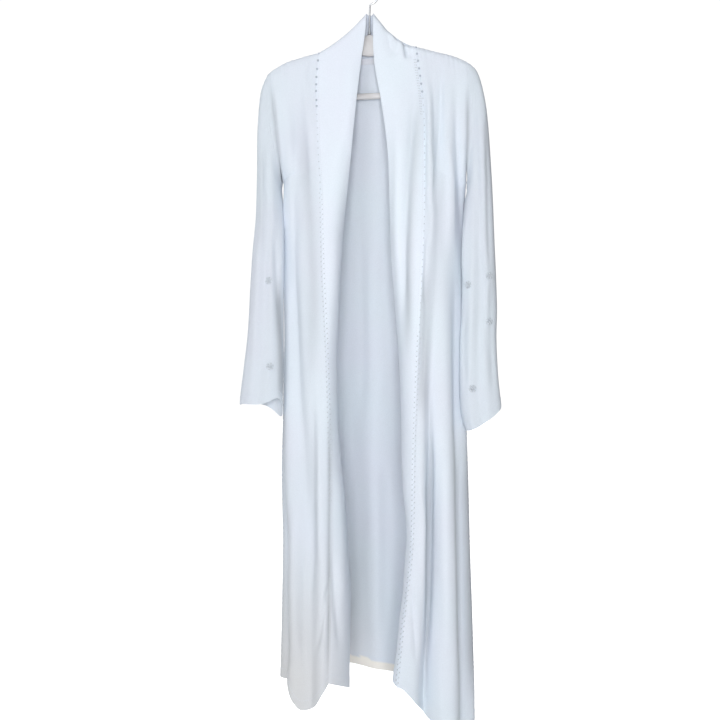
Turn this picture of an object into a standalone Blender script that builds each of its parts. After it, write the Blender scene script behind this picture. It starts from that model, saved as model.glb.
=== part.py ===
"""A long open-front kaftan jacket on a clothes hanger, cut and sewn from panels of 2 mm wall.

Lengths in this file are millimetres and meshes are made in metres. The origin is the inside
top of the hanger's hook, +Z is up, -Y is the front and +X is the viewer's right. Heights in
the tables are drops below the top of the collar.
"""

import math

import bmesh
import bpy
import numpy as np
from mathutils import Vector
from mathutils.bvhtree import BVHTree

MM = 0.001

# Driving sizes
WALL = 2.0  # cloth
SEAM_PULL = 0.2  # each panel's edge stands back this far from its seam
MITRE_LIMIT = 0.65  # least cosine between a wall and its shared normal at a seam
SEAT = 0.3  # cloth on cloth, and cloth on the hanger's arms
HOOK_TO_COLLAR = 56.0  # the hook's inside top above the top of the collar
UNDERARM_SHARE = 0.187  # underarm, as a share of the panel's height
ARMHOLE_DEPTH = 20.0  # half the thickness of the garment at the armhole
OUTER_POWER = 0.30  # roundness of a sleeve's outer edge, less is blunter
INNER_POWER = 0.50
UNDERARM_DROP = 350.0
UNDERARM_BACK = 6.0  # the underarm lies this far behind the shoulder line
UNDERARM_SPREAD = 2.4  # a sleeve stands this far out at the underarm
SPREAD_FROM = 0.6  # place below the armhole's middle where that begins
SHOULDER_ROUND = 11.0  # height over which a shoulder rounds over
NECK_DEPTH = 10.0  # how far the back neck seam lies behind the shoulder line
NECK_POWER = 0.5  # fullness of the neck's back curve
NECK_DIP = 13.0
BACK_POWER = 0.8  # fullness of the back's section below the waist
COLLAR_TOP_DEPTH = 8.0
COLLAR_TOP_DIP = 1.5
COLLAR_SAG = {"left": 8.0, "right": 13.0}  # the collar's top edge, between seam and fold
COLLAR_SAG_SHARE = 0.15
TILT_POWER = 5  # how closely a cuff's slant keeps to its inner edge
TAPE_WALL = 1.2
TAPE_WIDTH_ROWS = (1.0, 2.0, 3.0, 3.2)  # rows of the back that the tape covers
TAPE_INSET = 3  # columns of the back from each neck point to the tape's end
FLOWER_RADIUS = 8.0
FLOWER_PETALS = 6
FLOWER_WAIST = 0.68  # radius between two petals, as a share of the full radius
FLOWER_HEIGHT = 2.4
FLOWER_PROFILE = ((0.3, 0.0), (0.55, 0.0), (0.8, 0.0), (1.0, 0.0), (1.0, 0.45), (0.55, 1.0))
FLOWER_SEAT = 0.6
FLOWER_TOP = 1.1  # height of the middle, as a share of the full height
FLOWER_LEAN = 0.6  # least cosine between the cloth and the flower's facing
HANGER_DEPTH = 9.0
HANGER_ARM = 12.0  # height of an arm's section
HANGER_HEAD = 46.0  # height of the head's section
HANGER_HEAD_DROP = 66.0
HANGER_BAR = 13.0
HOOK_WIRE = 4.0
HOOK_INSIDE = 17.0  # inside radius of the hook
HOOK_GAP = 0.3  # between the stem's foot and the hanger's head
HOOK_END = 195  # degrees round from its right side
HOOK_STEP = 15
HOOK_BEND = (1.5, 0.5)  # how far the stem's bend lies right of and below the circle

# Rows of the panels: drops below the panel's top edge, for a panel 1276 mm long
ROW_LENGTH = 1276.0
TOP_ROWS = (0.0, 1.2, 4.5, 11.0, 24.0, 48.0, 80.0, 115.0, 150.0, 185.0, 212.0, 230.0)
LOWER_ROWS = 17
FRONT_LEFT_COLUMNS = 14
FRONT_RIGHT_COLUMNS = 17
BAND_COLUMNS = 6
SHOULDER_COLUMNS = 7
NECK_COLUMNS = 16
BACK_COLUMNS = 2 * SHOULDER_COLUMNS + NECK_COLUMNS
SLEEVE_ROWS = 22
SLEEVE_LEAN_ROWS = 6
ROUND_SHARE = 0.12  # a panel's section is round down to here and straight from twice this

# Body: the band seams, the side seams and the back's middle
BODY_COLUMNS = (
    "drop",
    "seam_left_x",
    "seam_left_y",
    "seam_right_x",
    "seam_right_y",
    "side_left_x",
    "side_right_x",
    "side_y",
    "back_y",
)
BODY = (
    (75, -105, -10, 97, -10, -208, 205, 0, 11),
    (150, -110, -15, 108, -14, -204, 203, 0, 14),
    (190, -108, -20, 113, -20, -199, 202, 0, 18),
    (290, -102, -34, 117, -35, -189, 203, 0, 28),
    (350, -97, -42, 118, -41, -183.5, 199.3, 6, 36),
    (410, -93, -49, 118, -47, -181.5, 194.6, 13, 43),
    (540, -88, -60, 114, -59, -181, 195.5, 20, 54),
    (680, -79, -71, 108, -69, -181.5, 196, 20, 62),
    (850, -72, -78, 101, -77, -184.5, 197, 20, 70),
    (930, -70, -81, 99, -80, -185.5, 199, 18, 73),
    (1100, -69, -86, 95, -85, -180, 202, 16, 80),
    (1240, -69, -89, 79, -89, -182, 206, 16, 86),
    (1400, -71, -91, 63, -90, -184, 210, 16, 90),
)

EDGE_COLUMNS = ("drop", "x", "y", "bulge")
LEFT_EDGE = (
    (0, -5.5, -8, 0),
    (30, -6.5, -10, 2),
    (100, -15.5, -15, 4),
    (186, -25, -22, 5),
    (286, -34, -28, 7),
    (406, -47, -26, 9),
    (536, -61, -16, 12),
    (676, -78, -4, 14),
    (816, -80, 0, 15),
    (956, -64, -4, 14),
    (1096, -49, -12, 12),
    (1236, -38, -22, 9),
    (1392, -38, -32, 5),
)
RIGHT_EDGE = (
    (0, 8, -8, 0),
    (30, 8.5, -10, 2),
    (100, 11.5, -15, 4),
    (186, 27, -22, 5),
    (286, 41, -28, 7),
    (406, 46, -27, 8),
    (536, 50, -20, 9),
    (676, 60, -10, 12),
    (816, 70, -4, 13),
    (956, 78, -4, 14),
    (1070, 99, -10, 14),
    (1166, 100, -16, 14),
    (1236, 92, -22, 14),
    (1351, 70, -30, 12),
)

SHOULDER_COLUMN_NAMES = ("share", "left_x", "left_drop", "right_x", "right_drop")
SHOULDER = (
    (0.00, -105, 76.5, 97, 74),
    (0.35, -141, 85.5, 135, 85.5),
    (0.70, -177, 96, 173, 97),
    (1.00, -208, 112, 205, 112),
)

HEM_COLUMNS = ("share", "front_left", "front_right")
FRONT_HEM = (
    (0.00, 1366, 1366),
    (0.06, 1386, 1372),
    (0.14, 1410, 1390),
    (0.23, 1423, 1414),
    (0.33, 1427, 1438),
    (0.42, 1408, 1452),
    (0.52, 1373, 1456),
    (0.70, 1381, 1458),
    (0.85, 1382, 1457),
    (1.00, 1382, 1452),
)
BACK_HEM_COLUMNS = ("share", "drop")
BACK_HEM = ((0.0, 1382), (0.2, 1384), (0.4, 1383), (0.5, 1386), (0.6, 1408), (0.8, 1436), (1.0, 1452))
LEFT_EDGE_HEM = 1392.0
RIGHT_EDGE_HEM = 1351.0

# Folds: place across the panel at its top and hem and half width, all as shares of its width,
# then height outwards at the chest, waist, knee and hem. A trough is negative.
FOLD_FADE = 0.06  # share of the width over which folds fade out at a seam
FOLD_DROPS = (100.0, 380.0, 700.0, 1050.0, 1400.0)
FRONT_LEFT_FOLDS = (
    (0.22, 0.08, 0.10, 3, 4, 5, 6),
    (0.55, 0.24, 0.11, -4, -8, -9, -10),
    (0.80, 0.46, 0.13, 3, 6, 11, 15),
    (0.96, 0.64, 0.08, 0, -3, -12, -20),
    (1.00, 0.84, 0.07, 0, 0, 4, 6),
)
FRONT_RIGHT_FOLDS = (
    (0.13, 0.10, 0.07, 7, 5, 2, 0),
    (0.06, 0.29, 0.075, 0, -5, -24, -34),
    (0.30, 0.52, 0.12, -3, 7, 12, 16),
    (0.52, 0.72, 0.09, 4, -7, -11, -12),
    (0.76, 0.88, 0.09, -3, 5, 7, 9),
)
BACK_FOLDS = (
    (0.16, 0.12, 0.045, 5, 9, 13, 16),
    (0.27, 0.24, 0.045, -6, -10, -16, -20),
    (0.38, 0.36, 0.055, 6, 11, 16, 22),
    (0.50, 0.49, 0.050, -5, -10, -15, -20),
    (0.62, 0.61, 0.055, 7, 12, 17, 21),
    (0.73, 0.74, 0.045, -6, -11, -17, -22),
    (0.84, 0.87, 0.050, 5, 9, 13, 17),
)

SLEEVE_COLUMNS = (
    "outer_x",
    "outer_drop",
    "inner_x",
    "inner_drop",
    "half_depth",
    "mid_y",
    "tilt",
    "belly",
)
LEFT_SLEEVE = (
    (-217.5, 124, -187.5, 356, 21, 0, 0, 0),
    (-228.5, 153, -187, 366, 22, -1, 0, 0),
    (-233.5, 200, -185.5, 380, 23, -3, 0, 0),
    (-235.5, 260, -184, 397, 23, -7, 0, 0),
    (-234.5, 330, -182.5, 420, 23, -13, 0, 0),
    (-234, 410, -180, 455, 22, -23, 0, 0),
    (-238.5, 490, -178, 510, 21, -32, 0, 0),
    (-242, 570, -177.5, 580, 20, -39, 0, 0),
    (-245.5, 650, -176.5, 655, 20, -42, 0, 0),
    (-254.5, 735, -175.5, 740, 21, -46, 13, -1),
    (-260, 785, -174.5, 787, 22, -49, 34, -3),
    (-261.5, 812, -174, 820, 23, -50, 52, -4),
)
RIGHT_SLEEVE = (
    (223, 133, 203, 371, 21, 0, 0, 0),
    (236, 180, 202, 382, 22, -3, 0, 0),
    (245, 245, 200, 396, 23, -7, 0, 0),
    (250, 320, 198.5, 414, 23, -12, 0, 0),
    (254, 400, 197, 440, 23, -18, 0, 0),
    (257, 480, 195, 490, 22, -24, 0, 0),
    (260, 550, 194, 560, 21, -28, 0, 0),
    (262, 621, 192, 631, 20, -30, 0, 0),
    (261, 672, 188.5, 690, 20, -31, 0, 0),
    (264, 746, 188, 760, 21, -31, 0, 3),
    (268, 790, 191, 820, 22, -31, 0, 8),
    (270, 811, 200, 858, 23, -30, 0, 13),
)

# Sleeve folds: place from the outer edge (0) to the inner one (1) at the head and cuff and
# half width, then height outwards at the head, elbow and cuff
SLEEVE_FOLD_STATIONS = (0.0, 0.25, 0.6, 1.0)
LEFT_SLEEVE_FOLDS = (
    (0.30, 0.26, 0.10, 2, 4, 3),
    (0.52, 0.46, 0.10, -4, -6, -5),
    (0.74, 0.72, 0.10, 2, 5, 5),
)
RIGHT_SLEEVE_FOLDS = (
    (0.28, 0.30, 0.10, 3, 5, 3),
    (0.46, 0.52, 0.10, -4, -6, -6),
    (0.70, 0.76, 0.10, 3, 5, 4),
)
REAR_SLEEVE_FOLDS = (
    (0.32, 0.36, 0.10, 2, 4, 4),
    (0.58, 0.60, 0.11, -3, -6, -5),
)

# Flowers: sleeve, x and drop of the centre
FLOWERS = (
    ("left", -201, 557),
    ("left", -196, 733),
    ("right", 205, 569),
    ("right", 247, 552),
    ("right", 247, 643),
    ("right", 214, 777),
)

# The hanger's loop, right half: x and drop of its middle line and height of its section
HANGER = (
    (0, HANGER_HEAD_DROP, HANGER_HEAD),
    (14, 69, HANGER_HEAD - 6),
    (28, 74, 22),
    (50, 79, HANGER_ARM),
    (98, 87.5, HANGER_ARM),
    (110, 88.9, HANGER_ARM),
    (140, 94.8, HANGER_ARM),
    (172, 105.6, HANGER_ARM),
    (188, 114.2, HANGER_ARM),
    (198, 122, HANGER_ARM),
    (200, 136, HANGER_ARM),
    (192, 156, HANGER_ARM),
    (174, 168, HANGER_BAR),
    (140, 171, HANGER_BAR),
    (70, 171.5, HANGER_BAR),
)
HANGER_SECTION_SIDES = 10
HANGER_SECTION_POWER = 0.7

# Which way a panel's rows and columns turn its outside
FACING = {
    "front_left": 1.0,
    "front_right": -1.0,
    "back": 1.0,
    "band_left": -1.0,
    "band_right": 1.0,
    "band_neck": -1.0,
    "sleeve_left": -1.0,
    "sleeve_right": 1.0,
}


def column(table, names, name):
    return np.array([row[names.index(name)] for row in table], dtype=float)


def smooth(x, known_x, known_y):
    """Curve through known points with no overshoot between them (monotone cubic)."""
    steps = np.diff(known_x)
    slopes = np.diff(known_y) / steps
    tangents = np.concatenate(([slopes[0]], 0.5 * (slopes[1:] + slopes[:-1]), [slopes[-1]]))
    flat = np.sign(slopes[1:]) * np.sign(slopes[:-1]) <= 0
    tangents[1:-1][flat] = 0.0
    for i, slope in enumerate(slopes):
        limit = 3.0 * abs(slope)
        tangents[i] = np.clip(tangents[i], -limit, limit)
        tangents[i + 1] = np.clip(tangents[i + 1], -limit, limit)
    x = np.clip(x, known_x[0], known_x[-1])
    i = np.clip(np.searchsorted(known_x, x, side="right") - 1, 0, len(steps) - 1)
    h = steps[i]
    t = (x - known_x[i]) / h
    value = (2 * t**3 - 3 * t**2 + 1) * known_y[i] + (t**3 - 2 * t**2 + t) * h * tangents[i]
    return value + (3 * t**2 - 2 * t**3) * known_y[i + 1] + (t**3 - t**2) * h * tangents[i + 1]


def body_at(name, drop):
    return smooth(drop, column(BODY, BODY_COLUMNS, "drop"), column(BODY, BODY_COLUMNS, name))


def edge_at(table, name, drop):
    return smooth(drop, column(table, EDGE_COLUMNS, "drop"), column(table, EDGE_COLUMNS, name))


def shoulder_at(name, share):
    shares = column(SHOULDER, SHOULDER_COLUMN_NAMES, "share")
    return smooth(share, shares, column(SHOULDER, SHOULDER_COLUMN_NAMES, name))


def lerp(a, b, t):
    return a + (b - a) * t


def ease(t):
    t = np.clip(t, 0.0, 1.0)
    return t * t * (3.0 - 2.0 * t)


def arch(t):
    """0 at both ends and 1 in the middle."""
    return 4.0 * t * (1.0 - t)


def rounded(depth):
    """Share of full thickness at a depth below a rounded top."""
    t = np.clip(depth / SHOULDER_ROUND, 0.0, 1.0)
    return math.sqrt(1.0 - (1.0 - t) ** 2)


def row_shares():
    top = [drop / ROW_LENGTH for drop in TOP_ROWS]
    lower = [lerp(UNDERARM_SHARE, 1.0, i / LOWER_ROWS) for i in range(LOWER_ROWS + 1)]
    return top + lower


ROWS = row_shares()
UNDERARM_ROW = len(TOP_ROWS)


def armhole_along(share):
    """Place on the armhole: +1 at the shoulder tip, -1 at the underarm."""
    return 1.0 - 2.0 * share / UNDERARM_SHARE


def ring_shape(along):
    """Share of a sleeve ring's full depth: blunt at its outer end, rounder at its inner end."""
    power = lerp(INNER_POWER, OUTER_POWER, (1.0 + along) / 2.0)
    return max(0.0, 1.0 - along * along) ** power


def fold_heights(folds, share, drop):
    """Sum of the folds at a place across the panel, fading out at its seams."""
    total = 0.0
    for at_top, at_hem, half_width, *heights in folds:
        down = (drop - FOLD_DROPS[0]) / (FOLD_DROPS[-1] - FOLD_DROPS[0])
        centre = lerp(at_top, at_hem, ease(down))
        height = smooth(drop, np.array(FOLD_DROPS), np.array([0.0, *heights]))
        total += height * math.exp(-(((share - centre) / half_width) ** 2))
    return total * ease(min(share, 1.0 - share) / FOLD_FADE)


def push_out(row, folds, shares, drops, outward):
    """Moves a row's points along its plan normal by the folds."""
    row = np.array(row)
    along = np.gradient(row[:, :2], axis=0)
    along /= np.maximum(np.linalg.norm(along, axis=1, keepdims=True), 1e-9)
    normal = np.stack((along[:, 1], -along[:, 0]), axis=1) * outward
    for i, share in enumerate(shares):
        row[i, :2] += normal[i] * fold_heights(folds, share, drops[i])
    return row


def straightness(share):
    """0 on the round top of a panel, 1 on its straight lower part."""
    return ease(share / ROUND_SHARE - 1.0)


def armhole_lean(along):
    """How far back the armhole's middle line lies at a place on it."""
    return UNDERARM_BACK * ((1.0 - along) / 2.0) ** 2


def side_line(side, share, drop, face):
    """x and y of the body's edge, front (-1) or back (1): the armhole, then the side seam."""
    if share > UNDERARM_SHARE:
        return float(body_at(f"side_{side}_x", drop)), float(body_at("side_y", drop))
    along = armhole_along(share)
    x = lerp(float(shoulder_at(side + "_x", 1.0)), underarm_x(side), share / UNDERARM_SHARE)
    return x, armhole_lean(along) + face * ARMHOLE_DEPTH * ring_shape(along)


def front_panel(side):
    """Rows from the shoulder to the hem, columns from the band seam to the armhole or side seam."""
    left = side == "left"
    count = FRONT_LEFT_COLUMNS if left else FRONT_RIGHT_COLUMNS
    folds = FRONT_LEFT_FOLDS if left else FRONT_RIGHT_FOLDS
    hem_shares = column(FRONT_HEM, HEM_COLUMNS, "share")
    hem_drops = column(FRONT_HEM, HEM_COLUMNS, "front_" + side)
    shares = [i / count for i in range(count + 1)]
    grid = []
    for f in ROWS:
        straight = straightness(f)
        row = []
        drops = []
        for q in shares:
            top = float(shoulder_at(side + "_drop", q))
            hem = float(smooth(q, hem_shares, hem_drops))
            drop = lerp(top, hem, f)
            seam_x = float(body_at(f"seam_{side}_x", drop))
            seam_y = body_seam_y(side, drop) * rounded(drop - top)
            if f == 0.0:
                seam_x = float(shoulder_at(side + "_x", 0.0))
            side_x, side_y = side_line(side, f, drop, -1.0)
            across = lerp(q, math.sin(q * math.pi / 2), straight)
            inward = lerp(q, 1.0 - math.cos(q * math.pi / 2), straight)
            row.append((lerp(seam_x, side_x, across), lerp(seam_y, side_y, inward), drop))
            drops.append(drop)
        grid.append(push_out(row, folds, shares, drops, -1.0 if left else 1.0))
    return np.array(grid)


def underarm_x(side):
    return float(body_at(f"side_{side}_x", UNDERARM_DROP))


def body_seam_y(side, drop):
    return float(body_at(f"seam_{side}_y", drop))


def neck_seam(u):
    """Back neck seam, from the left neck point (0) to the right one (1)."""
    x = lerp(float(shoulder_at("left_x", 0.0)), float(shoulder_at("right_x", 0.0)), u)
    drop = lerp(float(shoulder_at("left_drop", 0.0)), float(shoulder_at("right_drop", 0.0)), u)
    return x, NECK_DEPTH * math.sin(math.pi * u) ** NECK_POWER, drop + NECK_DIP * arch(u)


def back_top(index):
    """Top edge of the back at a column: left shoulder, back neck seam, right shoulder."""
    if index <= SHOULDER_COLUMNS:
        share = 1.0 - index / SHOULDER_COLUMNS
        return float(shoulder_at("left_x", share)), 0.0, float(shoulder_at("left_drop", share))
    index -= SHOULDER_COLUMNS
    if index < NECK_COLUMNS:
        return neck_seam(index / NECK_COLUMNS)
    share = (index - NECK_COLUMNS) / SHOULDER_COLUMNS
    return float(shoulder_at("right_x", share)), 0.0, float(shoulder_at("right_drop", share))


def back_share(index):
    """Place of a column across the back, from its left edge (0) to its right one (1)."""
    left_tip, right_tip = back_top(0)[0], back_top(BACK_COLUMNS)[0]
    return (back_top(index)[0] - left_tip) / (right_tip - left_tip)


def back_point(index, f):
    """A point of the back's mid surface before its folds."""
    _, top_y, top = back_top(index)
    q = back_share(index)
    hem_shares = column(BACK_HEM, BACK_HEM_COLUMNS, "share")
    hem = float(smooth(q, hem_shares, column(BACK_HEM, BACK_HEM_COLUMNS, "drop")))
    drop = lerp(top, hem, f)
    left_x, side_y = side_line("left", f, drop, 1.0)
    right_x, _ = side_line("right", f, drop, 1.0)
    straight = straightness(f)
    across = lerp(q, (1.0 - math.cos(math.pi * q)) / 2.0, straight)
    out = lerp(1.0 - abs(2.0 * q - 1.0) ** 3, math.sin(math.pi * q) ** BACK_POWER, straight)
    y = lerp(top_y, float(body_at("back_y", drop)), rounded(drop - top))
    return lerp(left_x, right_x, across), lerp(side_y, y, out), drop


def back_panel():
    columns = range(BACK_COLUMNS + 1)
    shares = [back_share(i) for i in columns]
    grid = [np.array([back_top(i) for i in columns])]
    for f in ROWS[1:]:
        row = [back_point(i, f) for i in columns]
        grid.append(push_out(row, BACK_FOLDS, shares, [p[2] for p in row], -1.0))
    return np.array(grid)


def band_front(side, front):
    """Rows shared with the front panel, columns from the seam to the free edge."""
    left = side == "left"
    table = LEFT_EDGE if left else RIGHT_EDGE
    hem = LEFT_EDGE_HEM if left else RIGHT_EDGE_HEM
    turn = 1.0 if left else -1.0
    grid = []
    for f, seam in zip(ROWS, front[:, 0]):
        edge_drop = lerp(0.0, hem, f)
        edge_x = float(edge_at(table, "x", edge_drop))
        edge_y = float(edge_at(table, "y", edge_drop))
        bulge = float(edge_at(table, "bulge", edge_drop))
        seam_y = body_seam_y(side, seam[2])
        chord = np.array((edge_x - seam[0], edge_y - seam_y))
        chord /= np.linalg.norm(chord)
        outward = np.array((chord[1], -chord[0])) * turn
        sag = COLLAR_SAG[side] * max(0.0, 1.0 - f / COLLAR_SAG_SHARE)
        fullness = rounded(f * ROW_LENGTH)
        row = []
        for i in range(BAND_COLUMNS + 1):
            p = i / BAND_COLUMNS
            x = lerp(seam[0], edge_x, p) + outward[0] * bulge * arch(p)
            y = lerp(seam_y, edge_y, p) + outward[1] * bulge * arch(p)
            drop = lerp(seam[2], edge_drop, p) + sag * arch(p)
            row.append((x, y * fullness if i else seam[1], drop))
        grid.append(row)
    return np.array(grid)


def band_neck(left_top, right_top):
    """Rows from the back neck seam up to the free edge, columns from the left fold to the right."""
    grid = []
    for i in range(BAND_COLUMNS + 1):
        p = i / BAND_COLUMNS
        depth = lerp(NECK_DEPTH, COLLAR_TOP_DEPTH, p)
        dip = lerp(NECK_DIP, COLLAR_TOP_DIP, p)
        row = []
        for j in range(NECK_COLUMNS + 1):
            u = j / NECK_COLUMNS
            x = lerp(left_top[i][0], right_top[i][0], u)
            drop = lerp(left_top[i][2], right_top[i][2], u) + dip * arch(u)
            row.append((x, depth * math.sin(math.pi * u) ** NECK_POWER, drop))
        grid.append(row)
    return np.array(grid)


def armhole_ends(side):
    """The sleeve's first ring: shoulder tip and underarm, as a row of the sleeve's table."""
    tip_x = float(shoulder_at(side + "_x", 1.0))
    tip_drop = float(shoulder_at(side + "_drop", 1.0))
    hem_drop = column(FRONT_HEM, HEM_COLUMNS, "front_" + side)[-1]
    underarm_drop = lerp(tip_drop, hem_drop, UNDERARM_SHARE)
    return tip_x, tip_drop, underarm_x(side), underarm_drop, ARMHOLE_DEPTH, 0.0, 0.0, 0.0


def sleeve(side):
    """Rings from the armhole to the cuff. A ring runs down the front and up the back."""
    table = LEFT_SLEEVE if side == "left" else RIGHT_SLEEVE
    front_folds = LEFT_SLEEVE_FOLDS if side == "left" else RIGHT_SLEEVE_FOLDS
    out = -1.0 if side == "left" else 1.0
    places = [armhole_along(f) for f in ROWS[: UNDERARM_ROW + 1]]
    ring = [(a, -1.0) for a in places] + [(a, 1.0) for a in places[-2:0:-1]]
    table = (armhole_ends(side), *table)
    stations = np.linspace(0.0, 1.0, len(table))
    grid = []
    for k in range(SLEEVE_ROWS + 1):
        s = k / SLEEVE_ROWS
        value = {}
        for name in SLEEVE_COLUMNS:
            value[name] = float(smooth(s, stations, column(table, SLEEVE_COLUMNS, name)))
        row = []
        for along, face in ring:
            outer = (1.0 + along) / 2.0
            shape = ring_shape(along)
            x = lerp(value["inner_x"], value["outer_x"], outer)
            drop = lerp(value["inner_drop"], value["outer_drop"], outer)
            height = sleeve_fold(front_folds if face < 0 else REAR_SLEEVE_FOLDS, 1.0 - outer, s)
            y = value["mid_y"] + face * (value["half_depth"] * shape + height)
            drop += shape * (value["belly"] + face * value["tilt"] * (1.0 - outer) ** TILT_POWER)
            y += armhole_lean(along) * max(0.0, 1.0 - k / SLEEVE_LEAN_ROWS)
            if k == 0:
                x += out * UNDERARM_SPREAD * ease((-along - SPREAD_FROM) / (1.0 - SPREAD_FROM))
            row.append((x, y, drop))
        grid.append(row)
    return np.array(grid)


def sleeve_fold(folds, place, s):
    total = 0.0
    for at_head, at_cuff, half_width, *heights in folds:
        height = smooth(s, np.array(SLEEVE_FOLD_STATIONS), np.array([0.0, *heights]))
        total += height * math.exp(-(((place - lerp(at_head, at_cuff, s)) / half_width) ** 2))
    return total


def to_metres(grid):
    points = np.array(grid, dtype=float)
    points[..., 2] = -(HOOK_TO_COLLAR + points[..., 2])
    return points * MM


def quad_list(grid, closed):
    rows, columns = grid.shape[:2]
    wrap = columns if closed else columns - 1
    for i in range(rows - 1):
        for j in range(wrap):
            yield (i, j), (i, (j + 1) % columns), (i + 1, (j + 1) % columns), (i + 1, j)


def is_tube(name):
    return name.startswith("sleeve")


def shared_normals(grids):
    """Vertex normals summed over every panel that meets at a point, with the mitre's length."""
    sums = {}
    faces = {}
    for name, grid in grids.items():
        for quad in quad_list(grid, is_tube(name)):
            corners = [grid[c] for c in quad]
            normal = np.cross(corners[2] - corners[0], corners[3] - corners[1])
            size = np.linalg.norm(normal)
            if size < 1e-12:
                continue
            normal = normal / size * FACING[name]
            for corner in corners:
                key = tuple(np.round(corner, 6))
                sums[key] = sums.get(key, 0.0) + normal
                faces.setdefault(key, []).append(normal)
    result = {}
    for name, grid in grids.items():
        normals = np.zeros_like(grid)
        for index in np.ndindex(grid.shape[:2]):
            key = tuple(np.round(grid[index], 6))
            normal = sums[key] / max(np.linalg.norm(sums[key]), 1e-12)
            lean = np.mean([np.dot(normal, face) for face in faces[key]])
            normals[index] = normal / max(lean, MITRE_LIMIT)
        result[name] = normals
    return result


def seam_step(edge, inner):
    """A short step from an edge's points towards the next ones in."""
    step = inner - edge
    return step / np.maximum(np.linalg.norm(step, axis=1, keepdims=True), 1e-9) * SEAM_PULL * MM


def pull_edges(grid, closed):
    """Stands the panel's edges back from its seams."""
    pulled = grid.copy()
    for edge, inner in ((0, 1), (-1, -2)):
        pulled[edge] += seam_step(grid[edge], grid[inner])
        if not closed:
            pulled[:, edge] += seam_step(grid[:, edge], grid[:, inner])
    return pulled


def material(name, colour, roughness, metallic=0.0):
    made = bpy.data.materials.new(name)
    made.use_nodes = True
    shader = made.node_tree.nodes["Principled BSDF"]
    shader.inputs["Base Color"].default_value = (*colour, 1.0)
    shader.inputs["Roughness"].default_value = roughness
    shader.inputs["Metallic"].default_value = metallic
    return made


def finish(mesh_builder, name, look):
    bmesh.ops.recalc_face_normals(mesh_builder, faces=mesh_builder.faces)
    mesh = bpy.data.meshes.new(name)
    mesh_builder.to_mesh(mesh)
    mesh_builder.free()
    mesh.materials.append(look)
    mesh.shade_smooth()
    made = bpy.data.objects.new(name, mesh)
    bpy.context.scene.collection.objects.link(made)
    return made


def cloth(name, grid, normals, look, wall=WALL, closed=False):
    """A closed wall about a panel's mid surface, as a grid outside, inside and round the rim."""
    half = wall / 2.0 * MM
    points = pull_edges(grid, closed)
    rows, columns = grid.shape[:2]
    builder = bmesh.new()
    skins = []
    for sign in (1.0, -1.0):
        skin = points + sign * half * normals
        skins.append([[builder.verts.new(point) for point in row] for row in skin])
    outer, inner = skins
    for quad in quad_list(grid, closed):
        builder.faces.new([outer[i][j] for i, j in quad])
        builder.faces.new([inner[i][j] for i, j in reversed(quad)])
    span = columns if closed else columns - 1
    for i in (0, rows - 1):
        for j in range(span):
            k = (j + 1) % columns
            builder.faces.new((outer[i][j], inner[i][j], inner[i][k], outer[i][k]))
    if not closed:
        for j in (0, columns - 1):
            for i in range(rows - 1):
                builder.faces.new((outer[i][j], inner[i][j], inner[i + 1][j], outer[i + 1][j]))
    return finish(builder, name, look)


def level_shoulder(normals, columns):
    """Turns the normals on a shoulder seam straight up, so both panels end on one plane."""
    for j in columns:
        normals[0, j, 1] = 0.0
        normals[0, j] /= np.linalg.norm(normals[0, j])


def build_garment(white):
    fronts = {side: front_panel(side) for side in ("left", "right")}
    bands = {side: band_front(side, fronts[side]) for side in fronts}
    grids = {
        "front_left": to_metres(fronts["left"]),
        "front_right": to_metres(fronts["right"]),
        "back": to_metres(back_panel()),
        "band_left": to_metres(bands["left"]),
        "band_right": to_metres(bands["right"]),
        "band_neck": to_metres(band_neck(bands["left"][0], bands["right"][0])),
        "sleeve_left": to_metres(sleeve("left")),
        "sleeve_right": to_metres(sleeve("right")),
    }
    normals = shared_normals(grids)
    level_shoulder(normals["front_left"], range(1, FRONT_LEFT_COLUMNS + 1))
    level_shoulder(normals["front_right"], range(1, FRONT_RIGHT_COLUMNS + 1))
    level_shoulder(normals["back"], range(SHOULDER_COLUMNS))
    level_shoulder(normals["back"], range(-SHOULDER_COLUMNS, 0))
    for name, grid in grids.items():
        cloth(name, grid, normals[name], white, closed=is_tube(name))
    return grids, normals


def outer_skin(grid, normals):
    """A tube's outer face, for what lies on it."""
    skin = grid + normals * WALL / 2.0 * MM
    columns = grid.shape[1]
    faces = [[i * columns + j for i, j in quad] for quad in quad_list(grid, True)]
    return BVHTree.FromPolygons(skin.reshape(-1, 3).tolist(), faces)


def build_tape(back, normals, look):
    """The tape under the back neck seam: the back's own points, moved to its inside."""
    columns = slice(SHOULDER_COLUMNS + TAPE_INSET, SHOULDER_COLUMNS + NECK_COLUMNS - TAPE_INSET + 1)
    inset = (WALL / 2.0 + SEAT + TAPE_WALL / 2.0) * MM
    inside = (back - normals * inset)[:, columns]
    facing = normals[:, columns]
    grid = []
    turned = []
    for place in TAPE_WIDTH_ROWS:
        row = int(place)
        grid.append(lerp(inside[row], inside[row + 1], place - row))
        turned.append(facing[row])
    cloth("neck_tape", np.array(grid), np.array(turned), look, wall=TAPE_WALL)


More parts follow.
